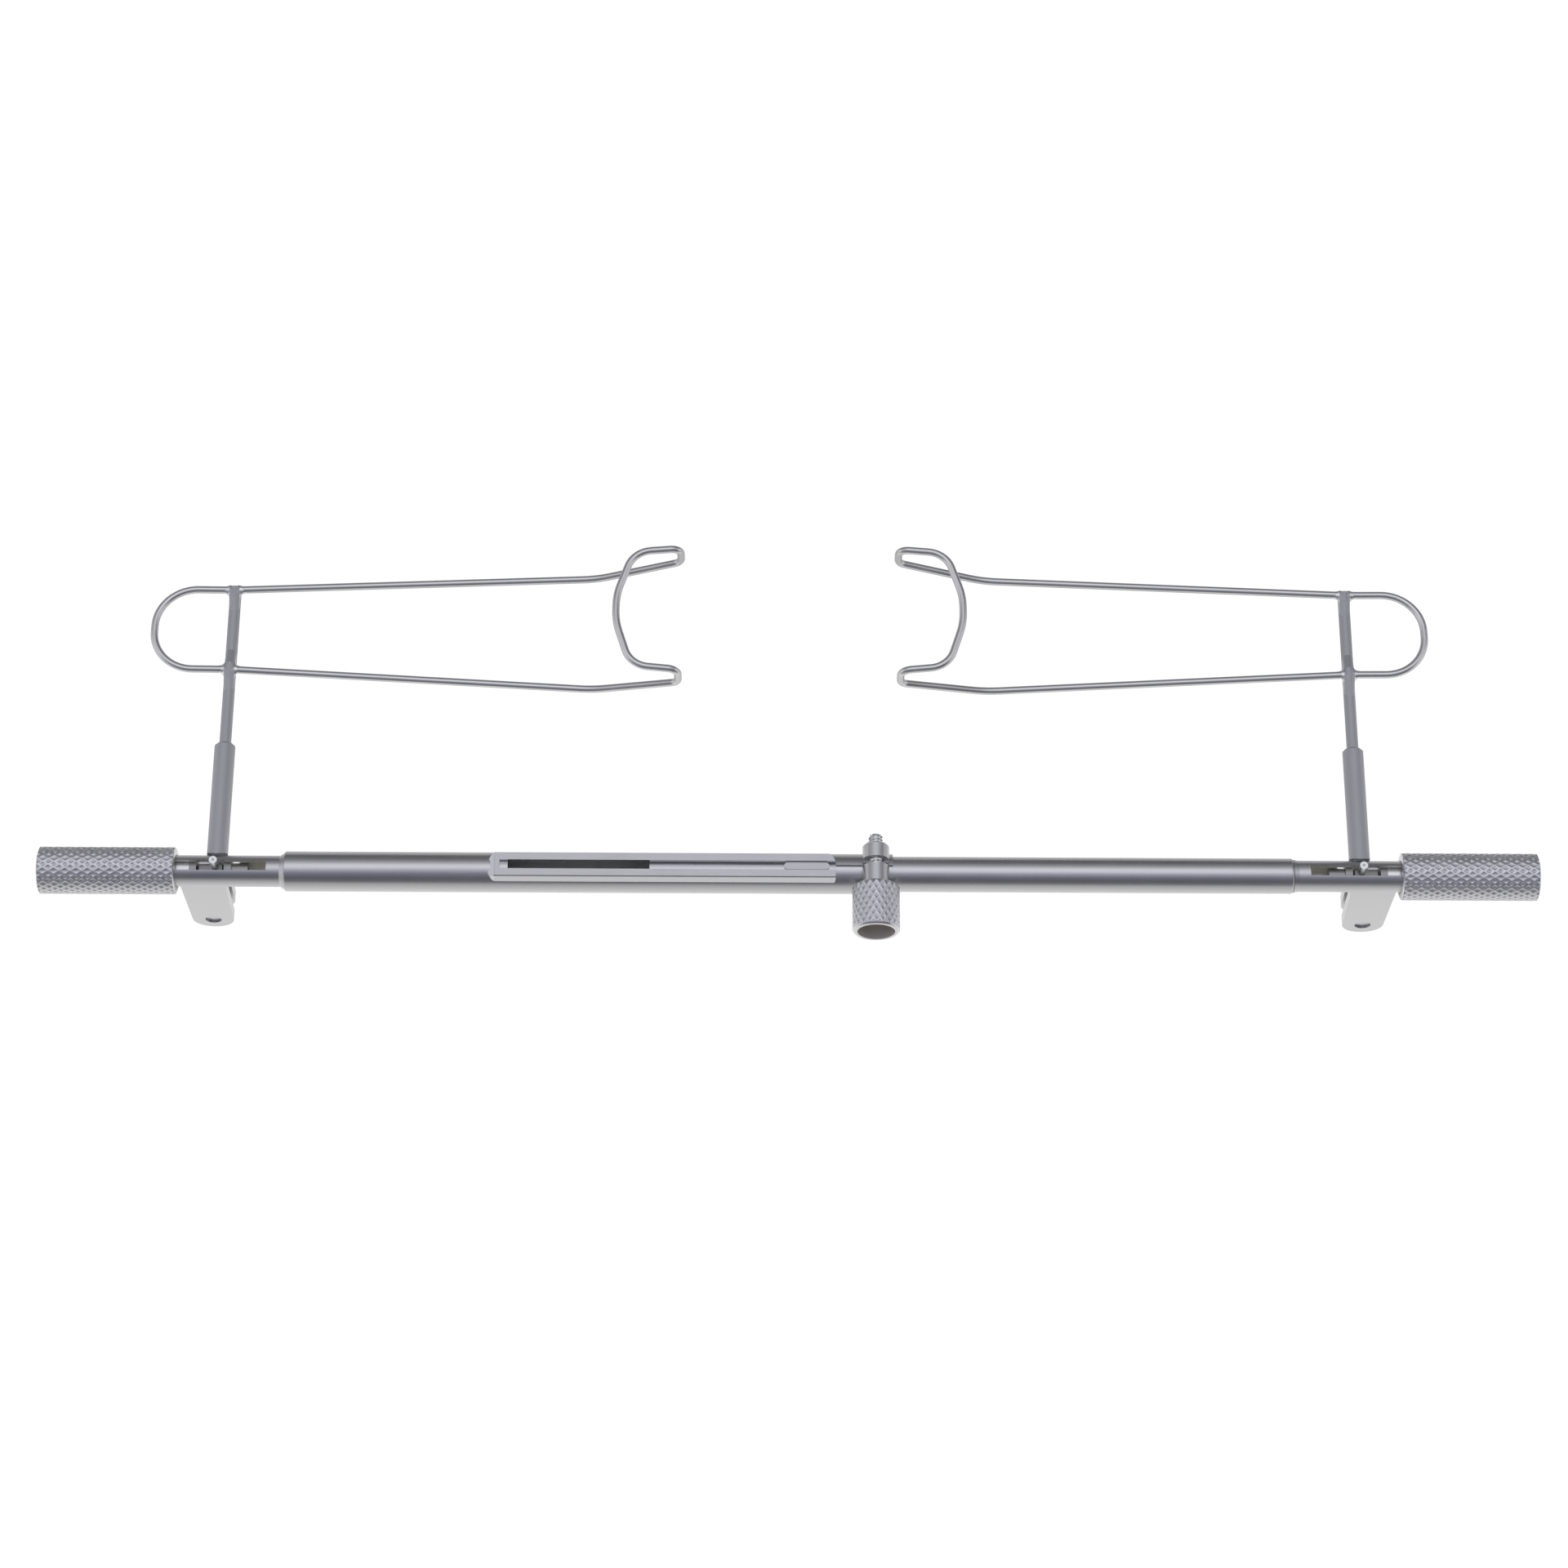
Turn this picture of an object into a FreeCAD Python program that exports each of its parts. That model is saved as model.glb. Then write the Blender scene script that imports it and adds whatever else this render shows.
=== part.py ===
import FreeCAD, Part
import math
import os
import re

import Sketcher

# Adjustable wire eye speculum.
# The bar lies along X with its axis through the origin, the arms run along +Y,
# the hinge ears hang along -Z and the lid hooks rise along +Z. All sizes are millimetres.
# The two ends are alike, so they are built at +X and mirrored to -X.

SIZES = {
    # Inner tube that slides, and the barrel round it
    "slide_radius": 1.85,
    "slide_wall": 0.35,
    "slide_clearance": 0.05,
    "slide_overlap": 25.38,
    "barrel_wall": 0.2,
    "barrel_mouth": 10.9,
    "bar_half": 52.8,
    "barrel_inset": 0.15,
    "barrel_round": 0.15,
    "slide_round": 0.28,
    # Guide rail on the barrel, its slot, and the key that runs in the slot
    "rail_length": 36.24,
    "rail_clamp_gap": 2.77,
    "rail_rise": 0.18,
    "rail_top_width": 2.7,
    "rail_base_width": 3.2,
    "rail_bevel_foot": 1.46,
    "rail_crease": 0.085,
    "rail_corner": 0.8,
    "rail_corner_front": 0.25,
    "rail_corner_back": 1.5,
    "rail_end_bevel": 0.7,
    "rail_end_drop": 0.3,
    "guide_slot_width": 1.0,
    "guide_slot_margin": 1.2,
    "guide_slot_step": 0.85,
    "clamp_slit_width": 0.3,
    "key_length": 4.7,
    "key_width": 0.76,
    "key_corner": 0.34,
    "key_end_gap": 0.67,
    "key_below_rail": 0.2,
    # Split clamp and its thumbscrew, whose axis runs along Y above the slit
    "lug_setback": 1.8,
    "lug_radius": 1.39,
    "lug_gap": 0.78,
    "lug_front_length": 2.23,
    "lug_rear_length": 1.71,
    "lug_chamfer": 0.25,
    "stud_radius": 0.77,
    "stud_clearance": 0.05,
    "stud_projection": 1.2,
    "stud_chamfer": 0.25,
    "stud_fit": 0.04,
    "clamp_knob_radius": 2.475,
    "clamp_knob_length": 5.05,
    "clamp_knob_gap": 0.02,
    "clamp_cup_radius": 1.95,
    "clamp_cup_depth": 2.5,
    "knob_chamfer": 0.35,
    # Lever housing with its clevis ears, one at each end of the bar
    "housing_radius": 1.64,
    "housing_bore": 1.2,
    "housing_solid": 1.7,
    "housing_length": 14.2,
    "spigot_length": 4.0,
    "shoulder_length": 0.5,
    "shoulder_step": 0.12,
    "slot_width": 1.1,
    "slot_end_wall": 2.2,
    "lever_gap_inboard": 3.8,
    "lever_gap_outboard": 3.0,
    "ear_width": 4.7,
    "ear_foot": 4.3,
    "ear_round": 2.05,
    "ear_below_pivot": 1.85,
    "pivot_offset": 8.4,
    "pivot_drop": 9.1,
    "pin_radius": 0.85,
    "pin_recess": 0.22,
    "pin_chamfer": 0.1,
    "pin_clearance": 0.04,
    # Lever that rocks between the ears, and the peg on its head
    "lever_thickness": 1.0,
    "lever_range": 11.0,
    "lever_eye_radius": 1.7,
    "lever_shank_foot": 3.0,
    "lever_shank_neck": 2.2,
    "lever_head_land": 0.1,
    "peg_radius": 0.42,
    "peg_top": 2.95,
    "peg_dimple": 0.15,
    # Draw rod that rocks the lever, held from turning by the lever in its notch
    "rod_clearance": 0.05,
    "rod_nose": 1.7,
    "rod_nose_radius": 0.85,
    "rod_flange": 0.75,
    "rod_notch": 2.9,
    "rod_notch_offset": 0.8,
    "rod_head_clearance": 0.06,
    "rod_web_gap": 0.12,
    "rod_body_length": 7.0,
    "rod_thread_radius": 0.75,
    "rod_thread_length": 8.5,
    # Elevation knob, a long captive nut, and the ring that keeps it on the housing
    "knob_radius": 2.475,
    "knob_overlap": 3.0,
    "knob_length": 14.4,
    "knob_end_gap": 0.3,
    "knob_journal_clearance": 0.05,
    "knob_thread_clearance": 0.04,
    "knob_cap": 2.5,
    "ring_setback": 1.4,
    "ring_width": 0.5,
    "ring_inner_radius": 1.4,
    "ring_outer_radius": 1.85,
    "ring_side_clearance": 0.05,
    "ring_split": 0.8,
    # Stem and cross rod of an arm
    "stem_offset": 1.33,
    "stem_radius": 1.1,
    "stem_start": 1.25,
    "stem_clearance": 0.26,
    "stem_end": 14.65,
    "stem_chamfer": 0.25,
    "spigot_radius": 0.6,
    "spigot_slot_clearance": 0.06,
    "spigot_slot_round": 0.6,
    "cross_radius": 0.625,
    "cross_socket": 2.5,
    "cross_overhang": 0.25,
    # Wire blade: one closed loop, symmetric about its middle line along X
    "wire_radius": 0.4,
    "wire_sink": 0.35,
    "blade_middle": 28.05,
    "blade_swing": 0.5,
    "bow_reach": 8.33,
    "bow_bend": 4.4,
    "wire_half_rod": 4.78,
    "kink_reach": 38.97,
    "kink_bend": 9.0,
    "wire_half_kink": 6.65,
    "tip_reach": 9.2,
    "tip_half": 7.2,
    "tip_rise": 3.2,
    "tip_bend": 1.1,
    "hook_rise": 6.2,
    "hook_corner_reach": 5.0,
    "hook_corner_half": 6.75,
    "hook_corner_bend": 2.8,
    "hook_back_reach": 6.7,
    "hook_back_half": 1.6,
    "hook_back_bend": 8.0,
}

BARREL_END = "(bar_half - barrel_inset)"
BARREL_BORE = "(slide_radius + slide_clearance)"
BARREL_RADIUS = f"({BARREL_BORE} + barrel_wall)"
SLIDE_BORE = "(slide_radius - slide_wall)"
RAIL_TOP = f"({BARREL_RADIUS} + rail_rise)"
LUG_X = "(barrel_mouth - lug_setback)"
RAIL_RIGHT = f"({LUG_X} - lug_radius - rail_clamp_gap)"
RAIL_LEFT = f"({RAIL_RIGHT} - rail_length)"
SLIDE_END = "(barrel_mouth - slide_overlap)"
SCREW_HEIGHT = f"({BARREL_BORE} + stud_radius + stud_clearance)"
FRONT_LUG_END = "(lug_gap / 2 + lug_front_length)"
REAR_LUG_END = "(lug_gap / 2 + lug_rear_length)"
KNOB_SEAT = f"({FRONT_LUG_END} + clamp_knob_gap)"
BORE_START = "(bar_half + housing_solid)"
HOUSING_END = "(bar_half + housing_length)"
PIVOT_X = "(bar_half + pivot_offset)"
STEM_X = f"({PIVOT_X} - stem_offset)"
ROD_RADIUS = "(housing_bore - rod_clearance)"
HEAD_X = f"({PIVOT_X} - rod_notch_offset)"
NOTCH_START = f"({HEAD_X} - rod_notch / 2)"
ROD_START = f"({NOTCH_START} - rod_flange)"
ROD_SHOULDER = f"({ROD_START} + rod_body_length)"
ROD_END = f"({ROD_SHOULDER} + rod_thread_length)"
HEAD_RADIUS = "(rod_notch / 2 - rod_head_clearance)"
HEAD_TOP = "(spigot_radius + lever_head_land)"
STEM_LEAN = "atan(stem_offset / pivot_drop)"
STEM_SWING = "sqrt(stem_offset^2 + pivot_drop^2)"
SWUNG_IN = f"({STEM_LEAN} + lever_range * 1 deg)"
SWUNG_OUT = f"({STEM_LEAN} - lever_range * 1 deg)"
EAR_BOTTOM = "(pivot_drop + ear_below_pivot)"
RING_X = f"({HOUSING_END} - ring_setback)"
KNOB_START = f"({HOUSING_END} - knob_overlap)"
KNOB_END = f"({KNOB_START} + knob_length)"
KINK_X = f"({STEM_X} - kink_reach)"
TIP_X = f"({KINK_X} - tip_reach)"
WIRE_HEIGHT = "(cross_radius + wire_radius - wire_sink)"

FUNCTIONS = ("sin", "cos", "atan", "sqrt", "deg")

doc = FreeCAD.newDocument("eye_speculum")
sheet = doc.addObject("Spreadsheet::Sheet", "sizes")
for row, (alias, number) in enumerate(SIZES.items(), 1):
    sheet.set(f"A{row}", alias)
    sheet.set(f"B{row}", str(number))
    sheet.setAlias(f"B{row}", alias)
doc.recompute()


def full(expression):
    """An expression with every size name pointed at the sheet."""
    def point(match):
        word = match.group(0)
        return word if word in FUNCTIONS else "sizes." + word
    return re.sub(r"[a-z][a-z_]+", point, expression)


def value(expression):
    """The number that an expression of size names stands for."""
    return float(sheet.evalExpression(full(expression)))


def bind(item, name, expression):
    """Tie one property of an object to the sheet."""
    item.setExpression(name, full(expression))


def place(item, x="0", y="0", z="0"):
    """Tie an object's place to the sheet."""
    for axis, expression in zip("xyz", (x, y, z)):
        if expression != "0":
            bind(item, f"Placement.Base.{axis}", expression)


# Turns that lay a cylinder, which stands along Z, along another axis
LAID_ALONG = {
    "X": FreeCAD.Rotation(FreeCAD.Vector(0, 1, 0), 90),
    "Y": FreeCAD.Rotation(FreeCAD.Vector(1, 0, 0), -90),
}


def cylinder(name, axis, radius, length, start):
    """A round bar or cutter along an axis, from a start point."""
    item = doc.addObject("Part::Cylinder", name)
    item.Placement = FreeCAD.Placement(FreeCAD.Vector(), LAID_ALONG[axis])
    bind(item, "Radius", radius)
    bind(item, "Height", length)
    place(item, *start)
    return item


def block(name, low, high):
    """A box between two corners."""
    item = doc.addObject("Part::Box", name)
    for side, one, other in zip(("Length", "Width", "Height"), low, high):
        bind(item, side, f"({other}) - ({one})")
    place(item, *low)
    return item


def fused(name, pieces):
    """Several objects joined into one."""
    item = doc.addObject("Part::MultiFuse", name)
    item.Shapes = pieces
    return item


def cut(name, base, tools):
    """A base with cutters taken out of it."""
    item = doc.addObject("Part::Cut", name)
    item.Base = base
    item.Tool = tools[0] if len(tools) == 1 else fused(name + "_cutters", tools)
    return item


def mirrored(name, source):
    """The piece of the left end, from the one of the right end."""
    item = doc.addObject("Part::Mirroring", name)
    item.Source = source
    item.Base = FreeCAD.Vector(0, 0, 0)
    item.Normal = FreeCAD.Vector(1, 0, 0)
    return item


def outline(body, plane, corners, rounds=None):
    """A closed sketch through corners, pairs of expressions, with some of them rounded."""
    rounds = rounds or {}
    sketch = body.newObject("Sketcher::SketchObject", body.Name + "_outline")
    origin = [f for f in body.Origin.OriginFeatures if f.Role == plane + "_Plane"][0]
    sketch.AttachmentSupport = [(origin, "")]
    sketch.MapMode = "FlatFace"
    points = [FreeCAD.Vector(value(a), value(b), 0) for a, b in corners]
    count = len(points)
    # Where each side starts and ends once its corners are rounded
    leave, arrive, arcs = {}, {}, {}
    for i, point in enumerate(points):
        back = (points[i - 1] - point).normalize()
        ahead = (points[(i + 1) % count] - point).normalize()
        leave[i] = arrive[i] = point
        if i in rounds:
            radius = value(rounds[i])
            half = back.getAngle(ahead) / 2
            arrive[i] = point + back * (radius / math.tan(half))
            leave[i] = point + ahead * (radius / math.tan(half))
            centre = point + (back + ahead).normalize() * (radius / math.sin(half))
            left_turn = back.cross(ahead).z < 0
            first, last = (arrive[i], leave[i]) if left_turn else (leave[i], arrive[i])
            angles = [math.atan2(p.y - centre.y, p.x - centre.x) for p in (first, last)]
            circle = Part.Circle(centre, FreeCAD.Vector(0, 0, 1), radius)
            arcs[i] = (Part.ArcOfCircle(circle, *angles), left_turn)
    sides = [sketch.addGeometry(Part.LineSegment(leave[i], arrive[(i + 1) % count]), False)
             for i in range(count)]

    def fix(geometry, expressions):
        for kind, expression in zip(("DistanceX", "DistanceY"), expressions):
            number = sketch.addConstraint(Sketcher.Constraint(kind, geometry, 1, value(expression)))
            bind(sketch, f"Constraints[{number}]", expression)

    for i in range(count):
        before, after = sides[i - 1], sides[i]
        if i not in rounds:
            sketch.addConstraint(Sketcher.Constraint("Coincident", before, 2, after, 1))
            fix(after, corners[i])
            continue
        corner = sketch.addGeometry(Part.Point(points[i]), True)
        fix(corner, corners[i])
        arc, left_turn = arcs[i]
        number = sketch.addGeometry(arc, False)
        first, last = (1, 2) if left_turn else (2, 1)
        sketch.addConstraint(Sketcher.Constraint("PointOnObject", corner, 1, before))
        sketch.addConstraint(Sketcher.Constraint("PointOnObject", corner, 1, after))
        sketch.addConstraint(Sketcher.Constraint("Tangent", before, 2, number, first))
        sketch.addConstraint(Sketcher.Constraint("Tangent", number, last, after, 1))
        radius = sketch.addConstraint(Sketcher.Constraint("Radius", number, value(rounds[i])))
        bind(sketch, f"Constraints[{radius}]", rounds[i])
    return sketch


def plate(name, plane, corners, depth, rounds=None, both_ways=True):
    """A flat piece: an outline pushed out of its plane."""
    body = doc.addObject("PartDesign::Body", name)
    pad = body.newObject("PartDesign::Pad", name + "_pad")
    pad.Profile = outline(body, plane, corners, rounds)
    pad.SideType = "Symmetric" if both_ways else "One side"
    bind(pad, "Length", depth)
    body.Tip = pad
    return body


def turned(name, axis, profile, centre=("0", "0", "0"), rounds=None):
    """A turned piece: (along, radius) points spun about the X or Y axis."""
    body = doc.addObject("PartDesign::Body", name)
    place(body, *centre)
    corners = profile if axis == "X" else [(radius, along) for along, radius in profile]
    spin = body.newObject("PartDesign::Revolution", name + "_turn")
    spin.Profile = outline(body, "XY", corners, rounds)
    spin.ReferenceAxis = (spin.Profile[0], ["H_Axis" if axis == "X" else "V_Axis"])
    spin.Angle = 360
    body.Tip = spin
    return body


def bar_tubes():
    """The split barrel, the inner tube that slides in it, and the rail and key that guide it."""
    slot_left = f"({RAIL_LEFT} + guide_slot_margin)"
    wall = turned("barrel_wall_tube", "X", [
        (f"-{BARREL_END}", BARREL_BORE), ("barrel_mouth", BARREL_BORE),
        ("barrel_mouth", BARREL_RADIUS), (f"-{BARREL_END}", BARREL_RADIUS)], rounds={3: "barrel_round"})
    slot_end = (RAIL_RIGHT, "guide_slot_width / 2", f"{RAIL_TOP} + rail_rise")
    rail_slot = block("rail_slot", (slot_left, "-guide_slot_width / 2", "0"), slot_end)
    barrel_slot = block("barrel_slot", (f"{slot_left} + guide_slot_step", "-guide_slot_width / 2", "0"),
                        slot_end)
    slit = block("barrel_slit", ("0", "-clamp_slit_width / 2", "0"),
                 ("barrel_mouth + clamp_slit_width", "clamp_slit_width / 2", RAIL_TOP))
    scallop = cylinder("barrel_scallop", "Y", "stud_radius + stud_clearance", f"2 * {BARREL_RADIUS}",
                       (LUG_X, f"-{BARREL_RADIUS}", SCREW_HEIGHT))
    cut("barrel_tube", wall, [barrel_slot, slit, scallop])

    # The rail is a bar of trapezoid section, saddled on the barrel
    foot = f"{BARREL_RADIUS} / 2"
    section = plate("rail_section", "YZ", [
        ("-rail_base_width / 2", foot), ("rail_base_width / 2", foot),
        ("rail_base_width / 2", "rail_bevel_foot"),
        ("rail_top_width / 2", f"{RAIL_TOP} - rail_crease"), ("rail_top_width / 2 - rail_crease", RAIL_TOP),
        ("-rail_top_width / 2 + rail_crease", RAIL_TOP), ("-rail_top_width / 2", f"{RAIL_TOP} - rail_crease"),
        ("-rail_base_width / 2", "rail_bevel_foot")],
        "rail_length", both_ways=False)
    place(section, RAIL_LEFT)
    plan = plate("rail_plan", "XY", [
        (RAIL_LEFT, "-rail_base_width / 2"), (RAIL_RIGHT, "-rail_base_width / 2"),
        (RAIL_RIGHT, "rail_base_width / 2"), (RAIL_LEFT, "rail_base_width / 2")],
        f"3 * {RAIL_TOP}",
        {0: "rail_corner", 1: "rail_corner_front", 2: "rail_corner_back", 3: "rail_corner_back"})
    rounded = doc.addObject("Part::Common", "rail_rounded")
    rounded.Base, rounded.Tool = section, plan
    saddle = cylinder("rail_saddle", "X", BARREL_RADIUS, "2 * bar_half", ("-bar_half", "0", "0"))
    slope = "rail_end_drop / rail_end_bevel"
    ramp = plate("rail_end_ramp", "XZ", [
        (f"{RAIL_LEFT} - rail_end_bevel", f"{RAIL_TOP} - 2 * rail_end_drop"),
        (f"{RAIL_LEFT} + 2 * rail_end_bevel", f"{RAIL_TOP} + {slope} * rail_end_bevel"),
        (f"{RAIL_LEFT} - rail_end_bevel", f"{RAIL_TOP} + {slope} * rail_end_bevel")],
        "2 * rail_base_width")
    cut("guide_rail", rounded, [saddle, rail_slot, ramp])

    turned("slide_tube", "X", [
        (SLIDE_END, SLIDE_BORE), ("bar_half", SLIDE_BORE),
        ("bar_half", "slide_radius"), (SLIDE_END, "slide_radius")], rounds={2: "slide_round"})
    key_right = f"({RAIL_RIGHT} - key_end_gap)"
    key = plate("key_plan", "XY", [
        (f"{key_right} - key_length", "-key_width / 2"), (key_right, "-key_width / 2"),
        (key_right, "key_width / 2"), (f"{key_right} - key_length", "key_width / 2")],
        f"{RAIL_TOP} - key_below_rail", {i: "key_corner" for i in range(4)}, both_ways=False)
    seat = cylinder("key_seat", "X", "slide_radius", "2 * bar_half", ("-bar_half", "0", "0"))
    cut("guide_key", key, [seat])


def clamp():
    """The two lugs of the split clamp, and the thumbscrew through them."""
    hole = "(stud_radius + stud_clearance)"
    axis = (LUG_X, "0", SCREW_HEIGHT)
    front = turned("lug_front_turned", "Y", [
        ("-lug_gap / 2", hole), ("-lug_gap / 2", "lug_radius"),
        (f"-{FRONT_LUG_END}", "lug_radius"), (f"-{FRONT_LUG_END}", hole)], axis)
    rear = turned("lug_rear_turned", "Y", [
        ("lug_gap / 2", hole), (REAR_LUG_END, hole), (REAR_LUG_END, "lug_radius - lug_chamfer"),
        (f"{REAR_LUG_END} - lug_chamfer", "lug_radius"), ("lug_gap / 2", "lug_radius")], axis)
    for name, lug in (("clamp_lug_front", front), ("clamp_lug_rear", rear)):
        saddle = cylinder(name + "_saddle", "X", BARREL_RADIUS, "2 * barrel_mouth", ("0", "0", "0"))
        cut(name, lug, [saddle])
    stud_tip = f"({REAR_LUG_END} + stud_projection)"
    web = f"({KNOB_SEAT} + clamp_knob_length - clamp_cup_depth)"
    turned("clamp_stud", "Y", [
        (f"-{web}", "0"), (stud_tip, "0"), (stud_tip, "stud_radius - stud_chamfer"),
        (f"{stud_tip} - stud_chamfer", "stud_radius"), (f"-{web}", "stud_radius")], axis)
    bore = "(stud_radius + stud_fit)"
    outer = f"({KNOB_SEAT} + clamp_knob_length)"
    turned("clamp_knob", "Y", [
        (f"-{KNOB_SEAT}", bore), (f"-{web}", bore), (f"-{web}", "clamp_cup_radius"),
        (f"-{outer}", "clamp_cup_radius"), (f"-{outer}", "clamp_knob_radius - knob_chamfer"),
        (f"-{outer} + knob_chamfer", "clamp_knob_radius"),
        (f"-{KNOB_SEAT} - knob_chamfer", "clamp_knob_radius"),
        (f"-{KNOB_SEAT}", "clamp_knob_radius - knob_chamfer")], axis)


def housing(name, seat_radius, tube_radius, tube_end):
    """A lever housing: plug, cone, slotted tube and clevis ears in one piece."""
    shoulder_end = f"({tube_end} + shoulder_length)"
    groove_end = f"({RING_X} + ring_width)"
    tube = turned(name + "_tube", "X", [
        (f"{tube_end} - spigot_length", "0"), (f"{tube_end} - spigot_length", seat_radius),
        (tube_end, seat_radius), (tube_end, f"{tube_radius} - shoulder_step"),
        (shoulder_end, "housing_radius"),
        (RING_X, "housing_radius"), (RING_X, "ring_inner_radius"),
        (groove_end, "ring_inner_radius"), (groove_end, "housing_radius"),
        (HOUSING_END, "housing_radius"), (HOUSING_END, "housing_bore"),
        (BORE_START, "housing_bore"), (BORE_START, "0")])
    ears = plate(name + "_ears", "XZ", [
        (f"{PIVOT_X} - ear_width / 2", "0"), (f"{PIVOT_X} - ear_foot / 2", f"-{EAR_BOTTOM}"),
        (f"{PIVOT_X} + ear_foot / 2", f"-{EAR_BOTTOM}"), (f"{PIVOT_X} + ear_width / 2", "0")],
        "2 * housing_radius", {1: "ear_round", 2: "ear_round"})
    bore = cylinder(name + "_bore", "X", "housing_bore", "housing_length - housing_solid",
                    (BORE_START, "0", "0"))
    top = block(name + "_top_slot", (BORE_START, "-slot_width / 2", "0"),
                (f"{HOUSING_END} - slot_end_wall", "slot_width / 2", "2 * housing_radius"))
    under = block(name + "_lever_gap",
                  (f"{PIVOT_X} - lever_gap_inboard", "-slot_width / 2", f"-{EAR_BOTTOM} - slot_width"),
                  (f"{PIVOT_X} + lever_gap_outboard", "slot_width / 2", "0"))
    # Window in the back wall, as long as the spigot's swing
    reach = "(spigot_radius + spigot_slot_clearance)"
    inner = f"{PIVOT_X} - {STEM_SWING} * sin({SWUNG_IN}) - {reach}"
    outer = f"{PIVOT_X} - {STEM_SWING} * sin({SWUNG_OUT}) + {reach}"
    low = f"{STEM_SWING} * cos({SWUNG_IN}) - pivot_drop - {reach}"
    high = f"{STEM_SWING} - pivot_drop + {reach}"
    window = plate(name + "_back_window", "XZ", [(inner, low), (outer, low), (outer, high), (inner, high)],
                   "2 * housing_radius", {i: "spigot_slot_round" for i in range(4)}, both_ways=False)
    place(window, "0", "2 * housing_radius")
    pin = cylinder(name + "_pin_hole", "Y", "pin_radius", "4 * housing_radius",
                   (PIVOT_X, "-2 * housing_radius", "-pivot_drop"))
    return cut(name, fused(name + "_blank", [tube, ears]), [bore, top, under, window, pin])


def lever():
    """The rocking lever, with a round head in the draw rod's notch and an eye on the pin."""
    half = "lever_thickness / 2"
    shank = plate("lever_shank", "XZ", [
        (f"{PIVOT_X} - lever_shank_foot / 2", "-pivot_drop"),
        (f"{PIVOT_X} + lever_shank_foot / 2", "-pivot_drop"),
        (f"{HEAD_X} + lever_shank_neck / 2", "0"), (f"{HEAD_X} - lever_shank_neck / 2", "0")],
        "lever_thickness")
    head = cylinder("lever_head", "Y", HEAD_RADIUS, "lever_thickness", (HEAD_X, f"-{half}", "0"))
    eye = cylinder("lever_eye", "Y", "lever_eye_radius", "lever_thickness",
                   (PIVOT_X, f"-{half}", "-pivot_drop"))
    over = block("lever_head_trim", (f"{HEAD_X} - 2 * {HEAD_RADIUS}", "-lever_thickness", HEAD_TOP),
                 (f"{HEAD_X} + 2 * {HEAD_RADIUS}", "lever_thickness", f"{HEAD_TOP} + 2 * housing_radius"))
    pin_hole = cylinder("lever_pin_hole", "Y", "pin_radius + pin_clearance", "2 * lever_thickness",
                        (PIVOT_X, "-lever_thickness", "-pivot_drop"))
    stem_hole = cylinder("lever_stem_hole", "Y", "spigot_radius", "2 * lever_thickness",
                         (STEM_X, "-lever_thickness", "0"))
    return cut("right_lever", fused("lever_blank", [shank, head, eye]), [over, pin_hole, stem_hole])


def lever_peg():
    """The peg on the lever's head, with a dimple in its top."""
    profile = [("0", HEAD_TOP), ("peg_radius", HEAD_TOP), ("peg_radius", "peg_top"),
               ("peg_dimple", "peg_top"), ("0", "peg_top - peg_dimple")]
    body = doc.addObject("PartDesign::Body", "right_lever_peg")
    place(body, STEM_X)
    spin = body.newObject("PartDesign::Revolution", "right_lever_peg_turn")
    spin.Profile = outline(body, "XZ", profile)
    spin.ReferenceAxis = (spin.Profile[0], ["V_Axis"])
    spin.Angle = 360
    body.Tip = spin
    return body


def pivot_pin():
    """The hinge pin, pressed in until its chamfered ends lie below the faces of both ears."""
    end = "(housing_radius - pin_recess)"
    return turned("right_pivot_pin", "Y", [
        (f"-{end}", "0"), (end, "0"), (end, "pin_radius - pin_chamfer"),
        (f"{end} - pin_chamfer", "pin_radius"), (f"-{end} + pin_chamfer", "pin_radius"),
        (f"-{end}", "pin_radius - pin_chamfer")], (PIVOT_X, "0", "-pivot_drop"))


def draw_rod():
    """The rod that the knob draws in and out, with a nose, a flange, a notch and a threaded tail."""
    nose = f"({ROD_START} - rod_nose)"
    rod = turned("draw_rod_turned", "X", [
        (nose, "0"), (nose, "rod_nose_radius"), (ROD_START, "rod_nose_radius"),
        (ROD_START, ROD_RADIUS), (ROD_SHOULDER, ROD_RADIUS),
        (ROD_SHOULDER, "rod_thread_radius"), (ROD_END, "rod_thread_radius"), (ROD_END, "0")])
    notch = block("draw_rod_notch",
                  (NOTCH_START, "-lever_thickness / 2 - rod_web_gap", "-2 * housing_bore"),
                  (f"{NOTCH_START} + rod_notch", "2 * housing_bore", "2 * housing_bore"))
    return cut("right_draw_rod", rod, [notch])


def elevation_knob():
    """The long knob: a nut for the draw rod, counterbored to run on the housing's end."""
    journal = "(housing_radius + knob_journal_clearance)"
    groove = "(ring_outer_radius + ring_side_clearance)"
    thread = "(rod_thread_radius + knob_thread_clearance)"
    step = f"({HOUSING_END} + knob_end_gap)"
    hole_end = f"({KNOB_END} - knob_cap)"
    ring_start = f"({RING_X} - ring_side_clearance)"
    ring_end = f"({RING_X} + ring_width + ring_side_clearance)"
    return turned("right_elevation_knob", "X", [
        (KNOB_START, journal), (KNOB_START, "knob_radius - knob_chamfer"),
        (f"{KNOB_START} + knob_chamfer", "knob_radius"), (f"{KNOB_END} - knob_chamfer", "knob_radius"),
        (KNOB_END, "knob_radius - knob_chamfer"), (KNOB_END, "0"), (hole_end, "0"),
        (hole_end, thread), (step, thread), (step, journal), (ring_end, journal), (ring_end, groove),
        (ring_start, groove), (ring_start, journal)])


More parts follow.
